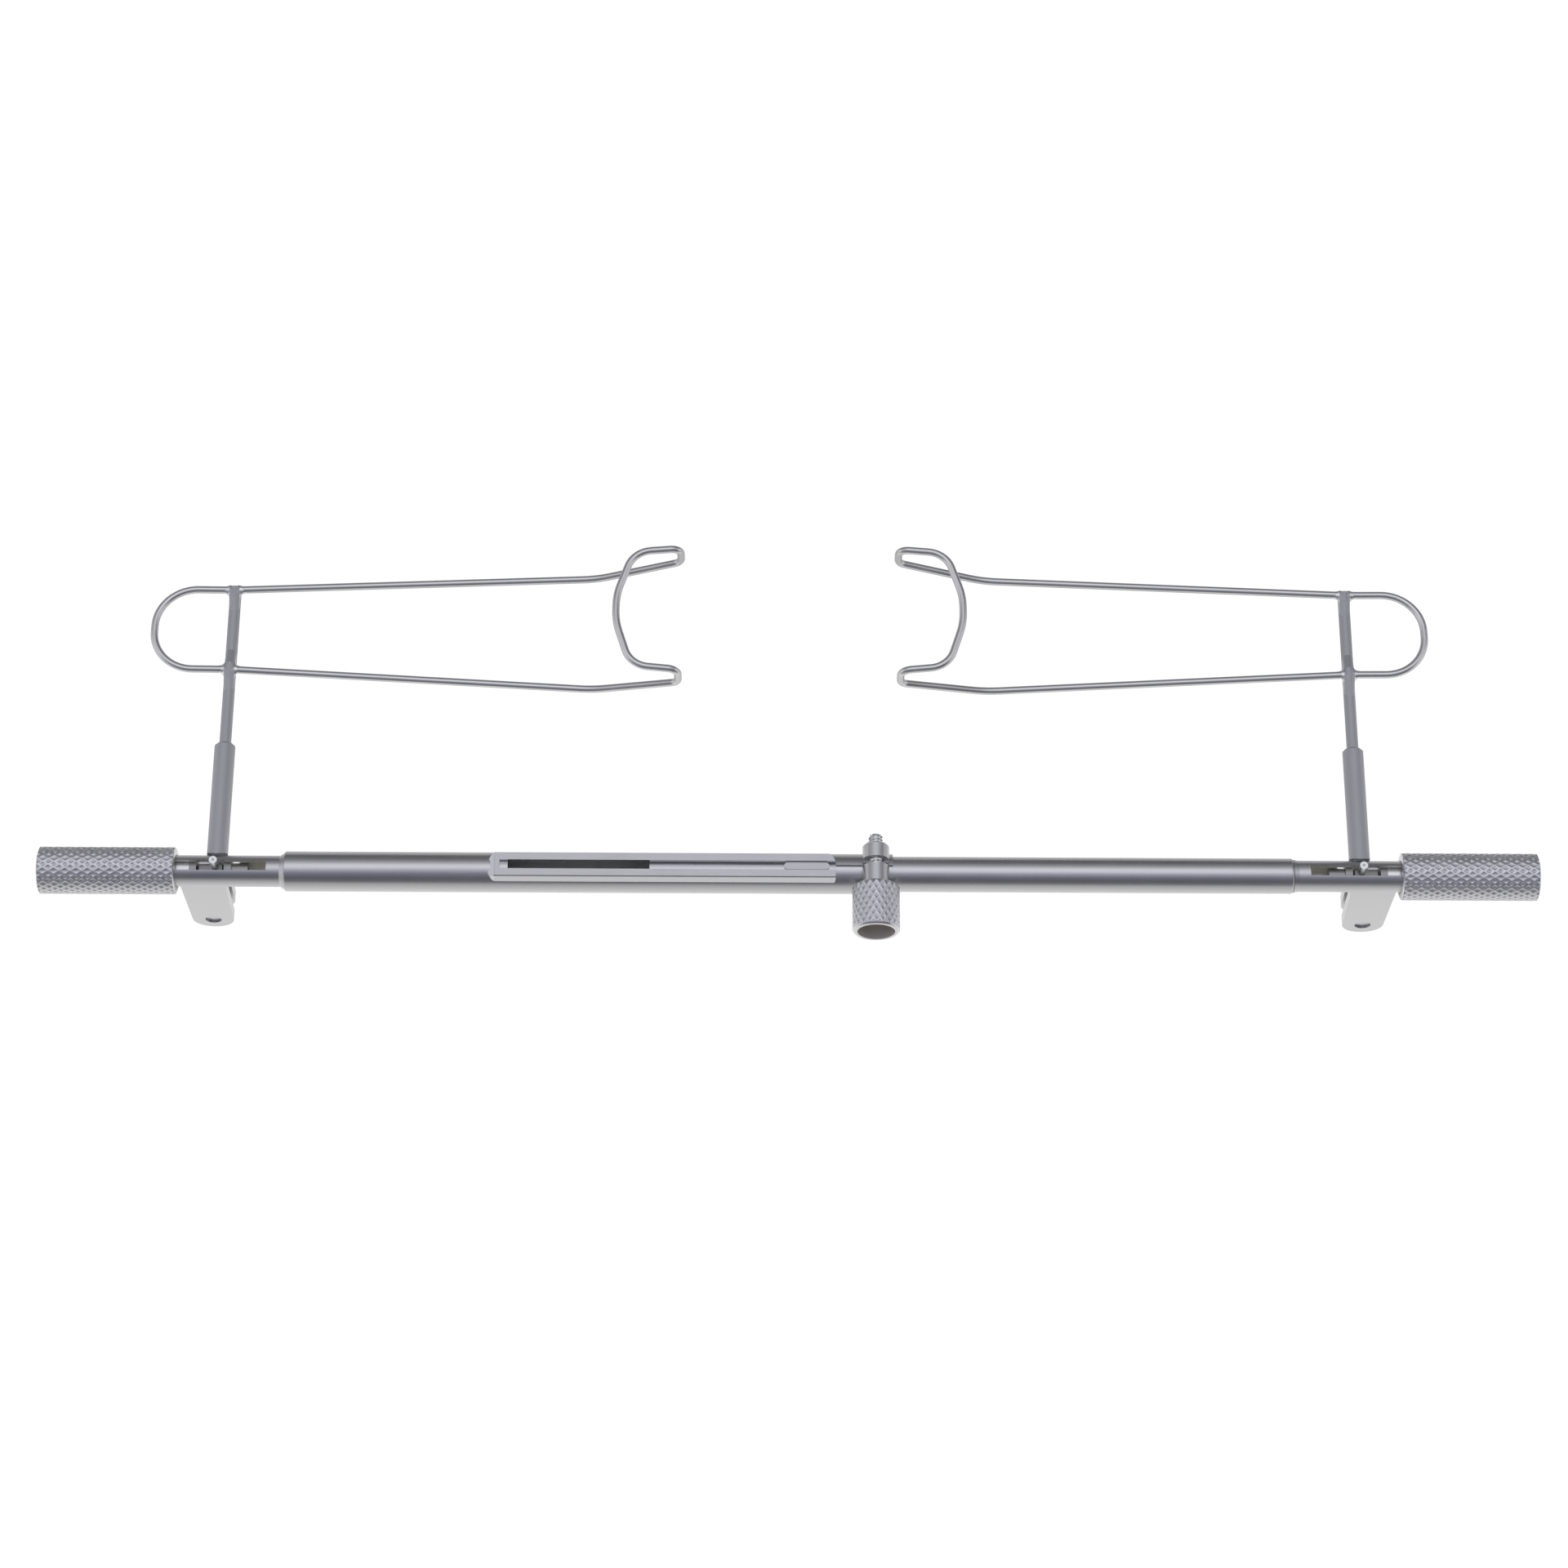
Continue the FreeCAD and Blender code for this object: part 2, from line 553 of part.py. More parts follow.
def retaining_ring():
    """The split ring that sits in the housing's groove and holds the knob along the bar."""
    ring = turned("ring_turned", "X", [
        (RING_X, "ring_inner_radius"), (f"{RING_X} + ring_width", "ring_inner_radius"),
        (f"{RING_X} + ring_width", "ring_outer_radius"), (RING_X, "ring_outer_radius")])
    split = block("ring_gap", (f"{RING_X} - ring_width", "-ring_split / 2", "-2 * ring_outer_radius"),
                  (f"{RING_X} + 2 * ring_width", "ring_split / 2", "0"))
    return cut("right_retaining_ring", ring, [split])


def stem():
    """The thick part of the arm, hollowed to clear the housing, with a spigot and a socket."""
    thick = turned("stem_turned", "Y", [
        ("stem_start", "0"), ("stem_start", "stem_radius"),
        ("stem_end - stem_chamfer", "stem_radius"), ("stem_end", "stem_radius - stem_chamfer"),
        ("stem_end", "cross_radius"), ("stem_end - cross_socket", "cross_radius"),
        ("stem_end - cross_socket", "0")], (STEM_X, "0", "0"))
    saddle = cylinder("stem_saddle", "X", "housing_radius + stem_clearance", "4 * stem_radius",
                      (f"{STEM_X} - 2 * stem_radius", "0", "0"))
    below = block("stem_flat", (f"{STEM_X} - 2 * stem_radius", "0", "-2 * stem_radius"),
                  (f"{STEM_X} + 2 * stem_radius", "housing_radius + stem_clearance", "0"))
    spigot = cylinder("stem_spigot", "Y", "spigot_radius", "lever_thickness / 2 + 2 * housing_radius",
                      (STEM_X, "-lever_thickness / 2", "0"))
    return fused("right_stem", [cut("stem_hollowed", thick, [saddle, below]), spigot])


def cross_rod():
    """The thin rod that carries the wire blade, notched where the wires lie on it."""
    end = "(blade_middle + wire_half_rod + cross_overhang)"
    return turned("cross_rod_turned", "Y", [
        ("stem_end - cross_socket", "0"), ("stem_end - cross_socket", "cross_radius"),
        (end, "cross_radius"), (end, "0")], (STEM_X, "0", "0"))


def bent_path(points, bends):
    """Straight runs joined by tangent arcs: one bend radius for each inner point."""
    edges, start = [], points[0]
    for before, corner, after, radius in zip(points, points[1:], points[2:], bends):
        back, ahead = (before - corner).normalize(), (after - corner).normalize()
        half = back.getAngle(ahead) / 2
        tangent = radius / math.tan(half)
        first, last = corner + back * tangent, corner + ahead * tangent
        depth = radius / math.sin(half) - radius
        middle = corner + (back + ahead).normalize() * depth
        if (first - start).Length > 1e-6:
            edges.append(Part.LineSegment(start, first).toShape())
        edges.append(Part.Arc(first, middle, last).toShape())
        start = last
    edges.append(Part.LineSegment(start, points[-1]).toShape())
    return Part.Wire(edges)


def blade_wire():
    """The wire blade: bow, two long wires, tips curled up and back, and the hook between them."""
    level = value(WIRE_HEIGHT)
    top = level + value("hook_rise")
    tip = level + value("tip_rise")

    def point(x, half, z):
        return FreeCAD.Vector(value(x), value(f"blade_middle + {half}"), z)

    bow_x = f"{STEM_X} + bow_reach"
    points = [
        point(bow_x, "0", level),
        point(bow_x, "wire_half_rod", level),
        point(STEM_X, "wire_half_rod", level),
        point(KINK_X, "wire_half_kink", level),
        point(TIP_X, "tip_half", tip),
        point(TIP_X, "tip_half", top),
        point(f"{TIP_X} + hook_corner_reach", "hook_corner_half", top),
        point(f"{TIP_X} + hook_back_reach", "hook_back_half", top),
        point(f"{TIP_X} + hook_back_reach", "0", top),
    ]
    bends = [value(name) for name in ("bow_bend", "kink_bend", "kink_bend", "tip_bend", "tip_bend",
                                      "hook_corner_bend", "hook_back_bend")]
    path = bent_path(points, bends)
    radius = value("wire_radius")
    section = Part.Wire(Part.Circle(points[0], FreeCAD.Vector(0, 1, 0), radius).toShape())
    half = path.makePipeShell([section], True, False)
    other = half.mirror(points[0], FreeCAD.Vector(0, 1, 0))
    loop = half.fuse(other).removeSplitter().Solids[0]
    loop.rotate(point(STEM_X, "0", level), FreeCAD.Vector(0, 0, 1), value("blade_swing"))
    print("wire path", round(2 * path.Length, 2), "volume", round(loop.Volume, 3),
          "section times length", round(2 * path.Length * math.pi * radius ** 2, 3))
    item = doc.addObject("Part::Feature", "right_blade_wire")
    item.Shape = loop
    return item


bar_tubes()
clamp()
housing("right_housing", SLIDE_BORE, "slide_radius", "bar_half")
barrel_end = housing("left_housing_at_right", BARREL_BORE, BARREL_RADIUS, BARREL_END)
wire = blade_wire()
rod = cut("right_cross_rod", cross_rod(), [wire])
right_end = [pivot_pin(), retaining_ring(), lever(), lever_peg(), stem(), rod, wire,
             draw_rod(), elevation_knob()]
mirrored("left_housing", barrel_end)
for piece in right_end:
    mirrored(piece.Name.replace("right_", "left_"), piece)
doc.recompute()

ENDS = ("housing", "pivot_pin", "retaining_ring", "lever", "lever_peg", "stem", "cross_rod",
        "blade_wire", "draw_rod", "elevation_knob")
NODES = ["barrel_tube", "guide_rail", "slide_tube", "guide_key", "clamp_lug_front", "clamp_lug_rear",
         "clamp_stud", "clamp_knob"]
NODES += [f"{side}_{piece}" for side in ("left", "right") for piece in ENDS]

for item in doc.Objects:
    if {"Invalid", "Error"} & set(item.State):
        raise RuntimeError(f"{item.Name} failed: {item.State}")
for node in NODES:
    shape = doc.getObject(node).Shape
    if shape.isNull() or not shape.isValid() or len(shape.Solids) != 1:
        raise RuntimeError(f"{node} is not one valid solid: {len(shape.Solids)}")

os.makedirs("parts", exist_ok=True)
for node in NODES:
    item = doc.getObject(node)
    item.Label = node
    item.Shape.exportStep(f"parts/{node}.step")
    print(node, round(item.Shape.Volume, 3))
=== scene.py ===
import logging
import math
from dataclasses import dataclass
from enum import Enum
from typing import Any, Sequence

import bmesh
import bpy
from mathutils import Matrix, Vector

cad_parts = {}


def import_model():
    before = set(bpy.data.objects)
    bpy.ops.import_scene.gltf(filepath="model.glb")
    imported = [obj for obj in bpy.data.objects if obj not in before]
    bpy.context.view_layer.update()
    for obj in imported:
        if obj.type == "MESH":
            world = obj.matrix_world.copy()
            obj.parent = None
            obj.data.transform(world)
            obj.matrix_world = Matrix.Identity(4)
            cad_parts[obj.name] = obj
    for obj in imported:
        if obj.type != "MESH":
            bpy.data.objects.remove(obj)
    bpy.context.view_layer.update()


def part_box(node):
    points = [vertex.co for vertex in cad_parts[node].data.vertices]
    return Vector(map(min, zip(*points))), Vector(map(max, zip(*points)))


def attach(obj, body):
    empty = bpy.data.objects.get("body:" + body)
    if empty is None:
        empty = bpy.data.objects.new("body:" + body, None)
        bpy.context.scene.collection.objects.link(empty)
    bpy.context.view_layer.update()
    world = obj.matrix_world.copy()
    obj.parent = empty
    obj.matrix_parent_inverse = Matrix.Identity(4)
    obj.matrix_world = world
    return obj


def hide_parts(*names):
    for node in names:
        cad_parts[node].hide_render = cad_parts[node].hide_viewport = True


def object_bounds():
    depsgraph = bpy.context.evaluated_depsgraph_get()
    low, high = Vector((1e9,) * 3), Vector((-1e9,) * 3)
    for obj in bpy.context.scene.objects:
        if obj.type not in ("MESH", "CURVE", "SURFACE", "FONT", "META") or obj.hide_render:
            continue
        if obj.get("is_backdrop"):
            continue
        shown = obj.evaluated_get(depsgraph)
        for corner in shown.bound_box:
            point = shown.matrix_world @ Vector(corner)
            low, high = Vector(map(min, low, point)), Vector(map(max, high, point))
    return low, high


MM = 0.001
MERGE_WITHIN = 1e-4
NOISE_MIDDLE = 0.5
log = logging.getLogger("eye_speculum")

Profile = list[tuple[float, float]]
Colour = tuple[float, float, float]


class Side(Enum):
    """The two ends of the bar, each with the sign of its X."""

    LEFT = -1
    RIGHT = 1

    @property
    def word(self) -> str:
        """The side's name as the nodes spell it."""
        return self.name.lower()


class Grain(Enum):
    """How the grit ran over a piece: the length of its marks along X, Y and Z in millimetres."""

    ALONG_BAR = (4.0, 0.16, 0.16)
    ALONG_ARM = (0.16, 4.0, 0.16)
    ROUND_BAR = (0.10, 1.4, 1.4)
    BLASTED = (0.14, 0.14, 0.14)


class Reading(Enum):
    """What a zone of a piece is measured by, in millimetres."""

    X = "X"
    Y = "Y"
    RADIUS = "RADIUS"
    OUTBOARD = "OUTBOARD"


class Number:
    """A number socket that takes part in Python expressions."""

    def __init__(self, graph: "Graph", socket: bpy.types.NodeSocket) -> None:
        """Wrap a socket.

        Args:
            graph: The graph that the socket is in.
            socket: An output socket that carries one number.
        """
        self.graph = graph
        self.socket = socket

    def _with(self, operation: str, first: Any, second: Any) -> "Number":
        """The result of one Math node.

        Args:
            operation: The Math node's operation.
            first: Its first value, a number or a Number.
            second: Its second value.

        Returns:
            The node's output as a Number.
        """
        made = self.graph.node("ShaderNodeMath", {"operation": operation}, {0: first, 1: second})
        return Number(self.graph, made.outputs[0])

    def __add__(self, other: Any) -> "Number":
        """Self plus other."""
        return self._with("ADD", self, other)

    def __radd__(self, other: Any) -> "Number":
        """Other plus self."""
        return self._with("ADD", other, self)

    def __sub__(self, other: Any) -> "Number":
        """Self minus other."""
        return self._with("SUBTRACT", self, other)

    def __rsub__(self, other: Any) -> "Number":
        """Other minus self."""
        return self._with("SUBTRACT", other, self)

    def __mul__(self, other: Any) -> "Number":
        """Self times other."""
        return self._with("MULTIPLY", self, other)

    def __rmul__(self, other: Any) -> "Number":
        """Other times self."""
        return self._with("MULTIPLY", other, self)

    def __truediv__(self, other: Any) -> "Number":
        """Self over other."""
        return self._with("DIVIDE", self, other)

    def __rtruediv__(self, other: Any) -> "Number":
        """Other over self."""
        return self._with("DIVIDE", other, self)

    def __pow__(self, other: Any) -> "Number":
        """Self to the power of other."""
        return self._with("POWER", self, other)

    def above(self, edge: float, width: float) -> "Number":
        """A soft step from 0 below an edge to 1 above it.

        Args:
            edge: Where the step starts.
            width: How far it takes to reach 1.

        Returns:
            The step, from 0 to 1.
        """
        made = self.graph.node("ShaderNodeMapRange", {"interpolation_type": "SMOOTHSTEP"},
                               {"Value": self, "From Min": edge, "From Max": edge + width})
        return Number(self.graph, made.outputs["Result"])


class Graph:
    """A node tree, with one method that adds any node.

    The sockets of a Mix node share their names, so those of its colours go by number.
    """

    MIX_FIRST = 6
    MIX_SECOND = 7
    MIX_RESULT = 2

    def __init__(self, tree: bpy.types.NodeTree) -> None:
        """Start from an empty tree.

        Args:
            tree: The tree of a material or a world.
        """
        self.tree = tree
        tree.nodes.clear()

    def node(self, kind: str, settings: dict[str, Any] | None = None,
             inputs: dict[Any, Any] | None = None) -> bpy.types.Node:
        """Add a node.

        Args:
            kind: The node's type name.
            settings: Its properties, set first. The key stops holds a ramp's stops.
            inputs: Values or links of its sockets, by name or number.

        Returns:
            The new node.
        """
        made = self.tree.nodes.new(kind)
        for name, value in (settings or {}).items():
            if name == "stops":
                self._stops(made.color_ramp, value)
            else:
                setattr(made, name, value)
        for name, value in (inputs or {}).items():
            socket = made.inputs[name]
            if isinstance(value, Number):
                value = value.socket
            if isinstance(value, bpy.types.NodeSocket):
                self.tree.links.new(value, socket)
            else:
                socket.default_value = value
        return made

    @staticmethod
    def _stops(ramp: bpy.types.ColorRamp, stops: Sequence[tuple[float, Colour]]) -> None:
        """Set a ramp's stops.

        Args:
            ramp: The ramp of a Color Ramp node.
            stops: Places from 0 to 1, each with its colour.
        """
        while len(ramp.elements) > 1:
            ramp.elements.remove(ramp.elements[-1])
        for number, (place, colour) in enumerate(stops):
            element = ramp.elements[0] if number == 0 else ramp.elements.new(place)
            element.position = place
            element.color = (*colour, 1.0)

    def noise(self, where: bpy.types.NodeSocket, scale: float, detail: float = 3.0,
              rough: float = 0.55) -> Number:
        """A noise pattern.

        Args:
            where: The vector that it reads.
            scale: How many lumps there are to the unit.
            detail: How many finer layers it has.
            rough: How strong the finer layers are.

        Returns:
            The pattern, near 0.5 on average.
        """
        made = self.node("ShaderNodeTexNoise", None,
                         {"Vector": where, "Scale": scale, "Detail": detail, "Roughness": rough})
        return Number(self, made.outputs["Fac"])

    def mix(self, factor: Number, first: Any, second: Any) -> bpy.types.NodeSocket:
        """Mix two colours.

        Args:
            factor: How much of the second there is, from 0 to 1.
            first: The first colour, as a value or a link.
            second: The second colour.

        Returns:
            The socket of the mixed colour.
        """
        first, second = ((*colour, 1.0) if isinstance(colour, tuple) else colour
                         for colour in (first, second))
        made = self.node("ShaderNodeMix", {"data_type": "RGBA"},
                         {"Factor": factor, self.MIX_FIRST: first, self.MIX_SECOND: second})
        return made.outputs[self.MIX_RESULT]


@dataclass(frozen=True)
class Zone:
    """A part of a piece painted another colour and roughness where its reading is under an edge; the zones
    here are painted light and painted shade.
    """

    reading: Reading
    edge: float
    colour: Colour
    roughness: float
    width: float = 0.06

    def mask(self, graph: Graph, millimetres: bpy.types.NodeSocket) -> Number:
        """How far a point is inside the zone.

        Args:
            graph: The material's graph.
            millimetres: The point on the piece.

        Returns:
            0 outside the zone to 1 inside it.
        """
        parts = graph.node("ShaderNodeSeparateXYZ", None, {0: millimetres}).outputs
        if self.reading is Reading.RADIUS:
            across, up = Number(graph, parts["Y"]), Number(graph, parts["Z"])
            value = (across * across + up * up) ** 0.5
        elif self.reading is Reading.OUTBOARD:
            along = Number(graph, parts["X"])
            value = (along * along) ** 0.5
        else:
            value = Number(graph, parts[self.reading.value])
        return 1 - value.above(self.edge - self.width / 2, self.width)


@dataclass(frozen=True)
class Steel:
    """A finish of stainless steel.

    The grain gives fine marks in one direction, the clouds the uneven polish left by hand, and
    the scratches the marks of use, where the clouds let them show. The crests of a knurl are
    smoother than its pits, and its pits are painted darker by their height as painted shade. A
    pair of numbers is where a step starts and its width.
    """

    name: str
    grain: Grain
    colour: Colour = (0.63, 0.63, 0.632)
    shade: Colour = (0.55, 0.55, 0.553)
    roughness: float = 0.30
    grain_depth: float = 0.06
    grain_height: float = 0.02
    grain_share: float = 0.5
    grain_roughness: float = 0.07
    cloud_share: float = 0.5
    cloud_roughness: float = 0.22
    clouds_per_mm: float = 0.35
    scratch_share: float = 0.35
    scratch_roughness: float = 0.12
    scratch_turn: tuple[float, float, float] = (0.3, 0.5, 0.6)
    scratches_per_mm: tuple[float, float, float] = (0.25, 5.0, 5.0)
    scratch_lines: tuple[float, float] = (0.66, 0.06)
    scratch_clouds: tuple[float, float] = (0.42, 0.2)
    pit_shade_share: float = 0.0
    pit_roughness: float = 0.12
    zones: tuple[Zone, ...] = ()

    def material(self) -> bpy.types.Material:
        """Build the finish as a material.

        Returns:
            The material, with every pattern on Object coordinates.
        """
        made = bpy.data.materials.new(self.name)
        made.use_nodes = True
        graph = Graph(made.node_tree)
        place = graph.node("ShaderNodeTexCoord").outputs["Object"]
        marks = graph.node("ShaderNodeMapping", {"vector_type": "POINT"},
                           {"Vector": place,
                            "Scale": tuple(1 / (MM * length) for length in self.grain.value)})
        grain = graph.noise(marks.outputs["Vector"], scale=1.0, detail=2.0)
        millimetres = graph.node("ShaderNodeMapping", {"vector_type": "POINT"},
                                 {"Vector": place, "Scale": (1 / MM, 1 / MM, 1 / MM)}).outputs["Vector"]
        cloud = graph.noise(millimetres, scale=self.clouds_per_mm, detail=4.0)
        crossing = graph.node("ShaderNodeMapping", {"vector_type": "POINT"},
                              {"Vector": millimetres, "Rotation": self.scratch_turn,
                               "Scale": self.scratches_per_mm})
        lines = graph.noise(crossing.outputs["Vector"], scale=1.0, detail=1.0).above(*self.scratch_lines)
        scratch = lines * cloud.above(*self.scratch_clouds)
        clouded, grained = cloud - NOISE_MIDDLE, grain - NOISE_MIDDLE
        tone_and_pit_shade = clouded * self.cloud_share + grained * self.grain_share + NOISE_MIDDLE
        rough = (self.roughness + clouded * (self.cloud_roughness * self.cloud_share)
                 + grained * self.grain_roughness + scratch * (self.scratch_roughness * self.scratch_share))
        # Painted shade: a knurl's pits are painted darker and its crests lighter, by their height
        if self.pit_shade_share:
            height = graph.node("ShaderNodeAttribute", {"attribute_name": Knurl.CREST})
            crest = Number(graph, height.outputs["Fac"])
            tone_and_pit_shade = tone_and_pit_shade * (1 - self.pit_shade_share) + crest * self.pit_shade_share
            rough = rough + (1 - crest) * self.pit_roughness
        tint = graph.mix(tone_and_pit_shade, self.shade, self.colour)
        for zone in self.zones:
            mask = zone.mask(graph, millimetres)
            tint = graph.mix(mask, tint, zone.colour)
            rough = rough + (zone.roughness - rough) * mask
        bump = graph.node("ShaderNodeBump", None,
                          {"Strength": self.grain_depth, "Distance": self.grain_height * MM,
                           "Height": grain - scratch * self.scratch_share})
        shader = graph.node("ShaderNodeBsdfPrincipled", None,
                            {"Base Color": tint, "Metallic": 1.0, "Roughness": rough,
                             "Normal": bump.outputs["Normal"]})
        graph.node("ShaderNodeOutputMaterial", None, {"Surface": shader.outputs["BSDF"]})
        return made


class Finishes:
    """The finishes of the instrument, one for each way that its pieces were worked, and a dark one
    that is painted shade on the levers.

    The zones are painted light and painted shade, with their edges in millimetres: painted light
    on the barrel's inner wall and the housings' bore by radius, on the rail's bevel by Y and on its
    ramp by length, and painted shade on the rod's inboard part by how far out it goes.
    """

    BARREL_WALL = 1.95
    HOUSING_BORE = 1.5
    BEVEL_TOP = -1.37
    RAMP_LENGTH = 0.66
    PAINTED_SHADE_TO = 62.6

    def __init__(self) -> None:
        """Build every finish once."""
        self.tube = Steel("satin_tube", Grain.ALONG_BAR, roughness=0.27).material()
        # Painted light: the barrel's inner wall is painted paler than the tube to lighten the slot's inside
        inside = Zone(Reading.RADIUS, self.BARREL_WALL, (0.80, 0.80, 0.79), 0.8)
        self.barrel = Steel("satin_barrel", Grain.ALONG_BAR, roughness=0.27, zones=(inside,)).material()
        rail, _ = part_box("guide_rail")
        # Painted light: the rail's front bevel and its ramp at the left end are painted lighter than the rail
        bevel = Zone(Reading.Y, self.BEVEL_TOP, (0.74, 0.74, 0.745), 0.30)
        ramp = Zone(Reading.X, rail.x / MM + self.RAMP_LENGTH, (0.94, 0.94, 0.95), 0.45)
        self.flat = Steel("satin_rail", Grain.ALONG_BAR, roughness=0.33, cloud_share=1.0, grain_depth=0.10,
                          colour=(0.70, 0.70, 0.705), shade=(0.50, 0.50, 0.51),
                          zones=(bevel, ramp)).material()
        # Painted light: the housings' bore is painted near white to brighten the inside of the slot
        bore = Zone(Reading.RADIUS, self.HOUSING_BORE, (0.98, 0.97, 0.90), 0.75)
        self.milled = Steel("satin_milled", Grain.BLASTED, roughness=0.32, zones=(bore,)).material()
        self.turned = Steel("satin_turned", Grain.ROUND_BAR, roughness=0.30, grain_depth=0.12).material()
        # Painted shade: a dark finish that stands in for the shade in the housings' slots, on the levers
        self.recess = Steel("painted_shade_recess", Grain.BLASTED, roughness=0.5, colour=(0.44, 0.44, 0.42),
                            shade=(0.32, 0.32, 0.30)).material()
        # Painted shade: the rod is painted dark inboard, where it runs inside the housing
        painted_shade_inboard = Zone(Reading.OUTBOARD, self.PAINTED_SHADE_TO, (0.44, 0.44, 0.42), 0.5)
        self.rod = Steel("satin_rod", Grain.ROUND_BAR, roughness=0.30, grain_depth=0.12,
                         colour=(0.80, 0.80, 0.80), shade=(0.72, 0.72, 0.72), zones=(painted_shade_inboard,)).material()
        self.arm = Steel("satin_arm", Grain.ALONG_ARM, roughness=0.60, colour=(0.61, 0.61, 0.625),
                         shade=(0.52, 0.52, 0.535)).material()
        self.wire = Steel("polished_wire", Grain.ALONG_BAR, roughness=0.30, colour=(0.75, 0.75, 0.74),
                          shade=(0.65, 0.65, 0.64)).material()
        # Painted shade: the pits of the knurl are painted darker than its crests
        self.knurl = Steel("diamond_knurl", Grain.BLASTED, roughness=0.36, pit_shade_share=0.22, cloud_share=0.9,
                           grain_depth=0.30, colour=(0.84, 0.84, 0.85), shade=(0.56, 0.56, 0.58)).material()
        self.thread = Steel("bright_thread", Grain.ROUND_BAR, roughness=0.16, colour=(0.86, 0.86, 0.86),
                            shade=(0.76, 0.76, 0.76)).material()
        self.rim = Steel("cut_rim", Grain.ROUND_BAR, roughness=0.30, colour=(0.84, 0.84, 0.84),
                         shade=(0.74, 0.74, 0.74)).material()
        self.cup = Steel("dull_cup", Grain.BLASTED, roughness=0.62, colour=(0.66, 0.63, 0.58),
                         shade=(0.58, 0.55, 0.51)).material()
        self.braze = Steel("silver_braze", Grain.BLASTED, roughness=0.30, colour=(0.92, 0.92, 0.91),
                           shade=(0.84, 0.84, 0.83)).material()


class Stock:
    """A mesh under work, in millimetres, built about the X axis."""

    RING_BEND = 0.5
    RING_FLATNESS = 1e-5

    def __init__(self) -> None:
        """Start with nothing."""
        self.bm = bmesh.new()

    @classmethod
    def turned(cls, profile: Profile, steps: int = 80, break_edges: float = 0.04) -> "Stock":
        """Turned stock, from a closed profile.

        Args:
            profile: Points (along, radius), in order round the section.
            steps: Faces round the axis.
            break_edges: Width of the small bevel on each sharp ring.

        Returns:
            The stock.
        """
        stock = cls()
        bm = stock.bm
        points = [bm.verts.new((along, radius, 0.0)) for along, radius in profile]
        edges = [bm.edges.new(pair) for pair in zip(points, points[1:] + points[:1])]
        bmesh.ops.spin(bm, geom=points + edges, axis=(1, 0, 0), cent=(0, 0, 0), angle=math.tau,
                       steps=steps, use_merge=True)
        bmesh.ops.remove_doubles(bm, verts=bm.verts, dist=MERGE_WITHIN)
        loose = [edge for edge in bm.edges if not edge.link_faces]
        bmesh.ops.delete(bm, geom=loose, context="EDGES")
        bmesh.ops.recalc_face_normals(bm, faces=bm.faces)
        rings = [edge for edge in bm.edges
                 if edge.calc_face_angle(0.0) > cls.RING_BEND and cls._is_ring(edge)]
        bmesh.ops.bevel(bm, geom=rings, offset=break_edges, offset_type="OFFSET", segments=2,
                        profile=0.5, affect="EDGES", clamp_overlap=True, material=-1)
        return stock

    @staticmethod
    def _is_ring(edge: bmesh.types.BMEdge) -> bool:
        """Whether an edge runs round the axis."""
        one, other = edge.verts
        same_radius = abs(one.co.yz.length - other.co.yz.length) < MERGE_WITHIN
        return same_radius and abs(one.co.x - other.co.x) < Stock.RING_FLATNESS

    def join(self, other: "Stock") -> "Stock":
        """Take another stock's faces into this one.

        Args:
            other: The stock to add; it is used up.

        Returns:
            This stock.
        """
        mesh = bpy.data.meshes.new("joining")
        other.bm.to_mesh(mesh)
        other.bm.free()
        self.bm.from_mesh(mesh)
        bpy.data.meshes.remove(mesh)
        return self

    def moved(self, matrix: Matrix) -> "Stock":
        """Turn and move the stock.

        Args:
            matrix: The change, in millimetres.

        Returns:
            This stock.
        """
        bmesh.ops.transform(self.bm, matrix=matrix, verts=self.bm.verts)
        if matrix.determinant() < 0:
            bmesh.ops.reverse_faces(self.bm, faces=self.bm.faces)
        return self

    def finished(self, name: str, materials: Sequence[bpy.types.Material],
                 sharp: float = 32.0) -> bpy.types.Object:
        """Make the stock an object in the row frame.

        Args:
            name: The object's name.
            materials: Its finishes, in the order of its faces' material numbers.
            sharp: Edges bent more than this many degrees stay sharp.

        Returns:
            The object, at the origin.
        """
        bmesh.ops.scale(self.bm, vec=(MM, MM, MM), verts=self.bm.verts)
        mesh = bpy.data.meshes.new(name)
        self.bm.to_mesh(mesh)
        self.bm.free()
        mesh.shade_smooth()
        mesh.set_sharp_from_angle(angle=math.radians(sharp))
        for material in materials:
            mesh.materials.append(material)
        piece = bpy.data.objects.new(name, mesh)
        bpy.context.scene.collection.objects.link(piece)
        log.info("%s: %d faces", name, len(mesh.polygons))
        return piece


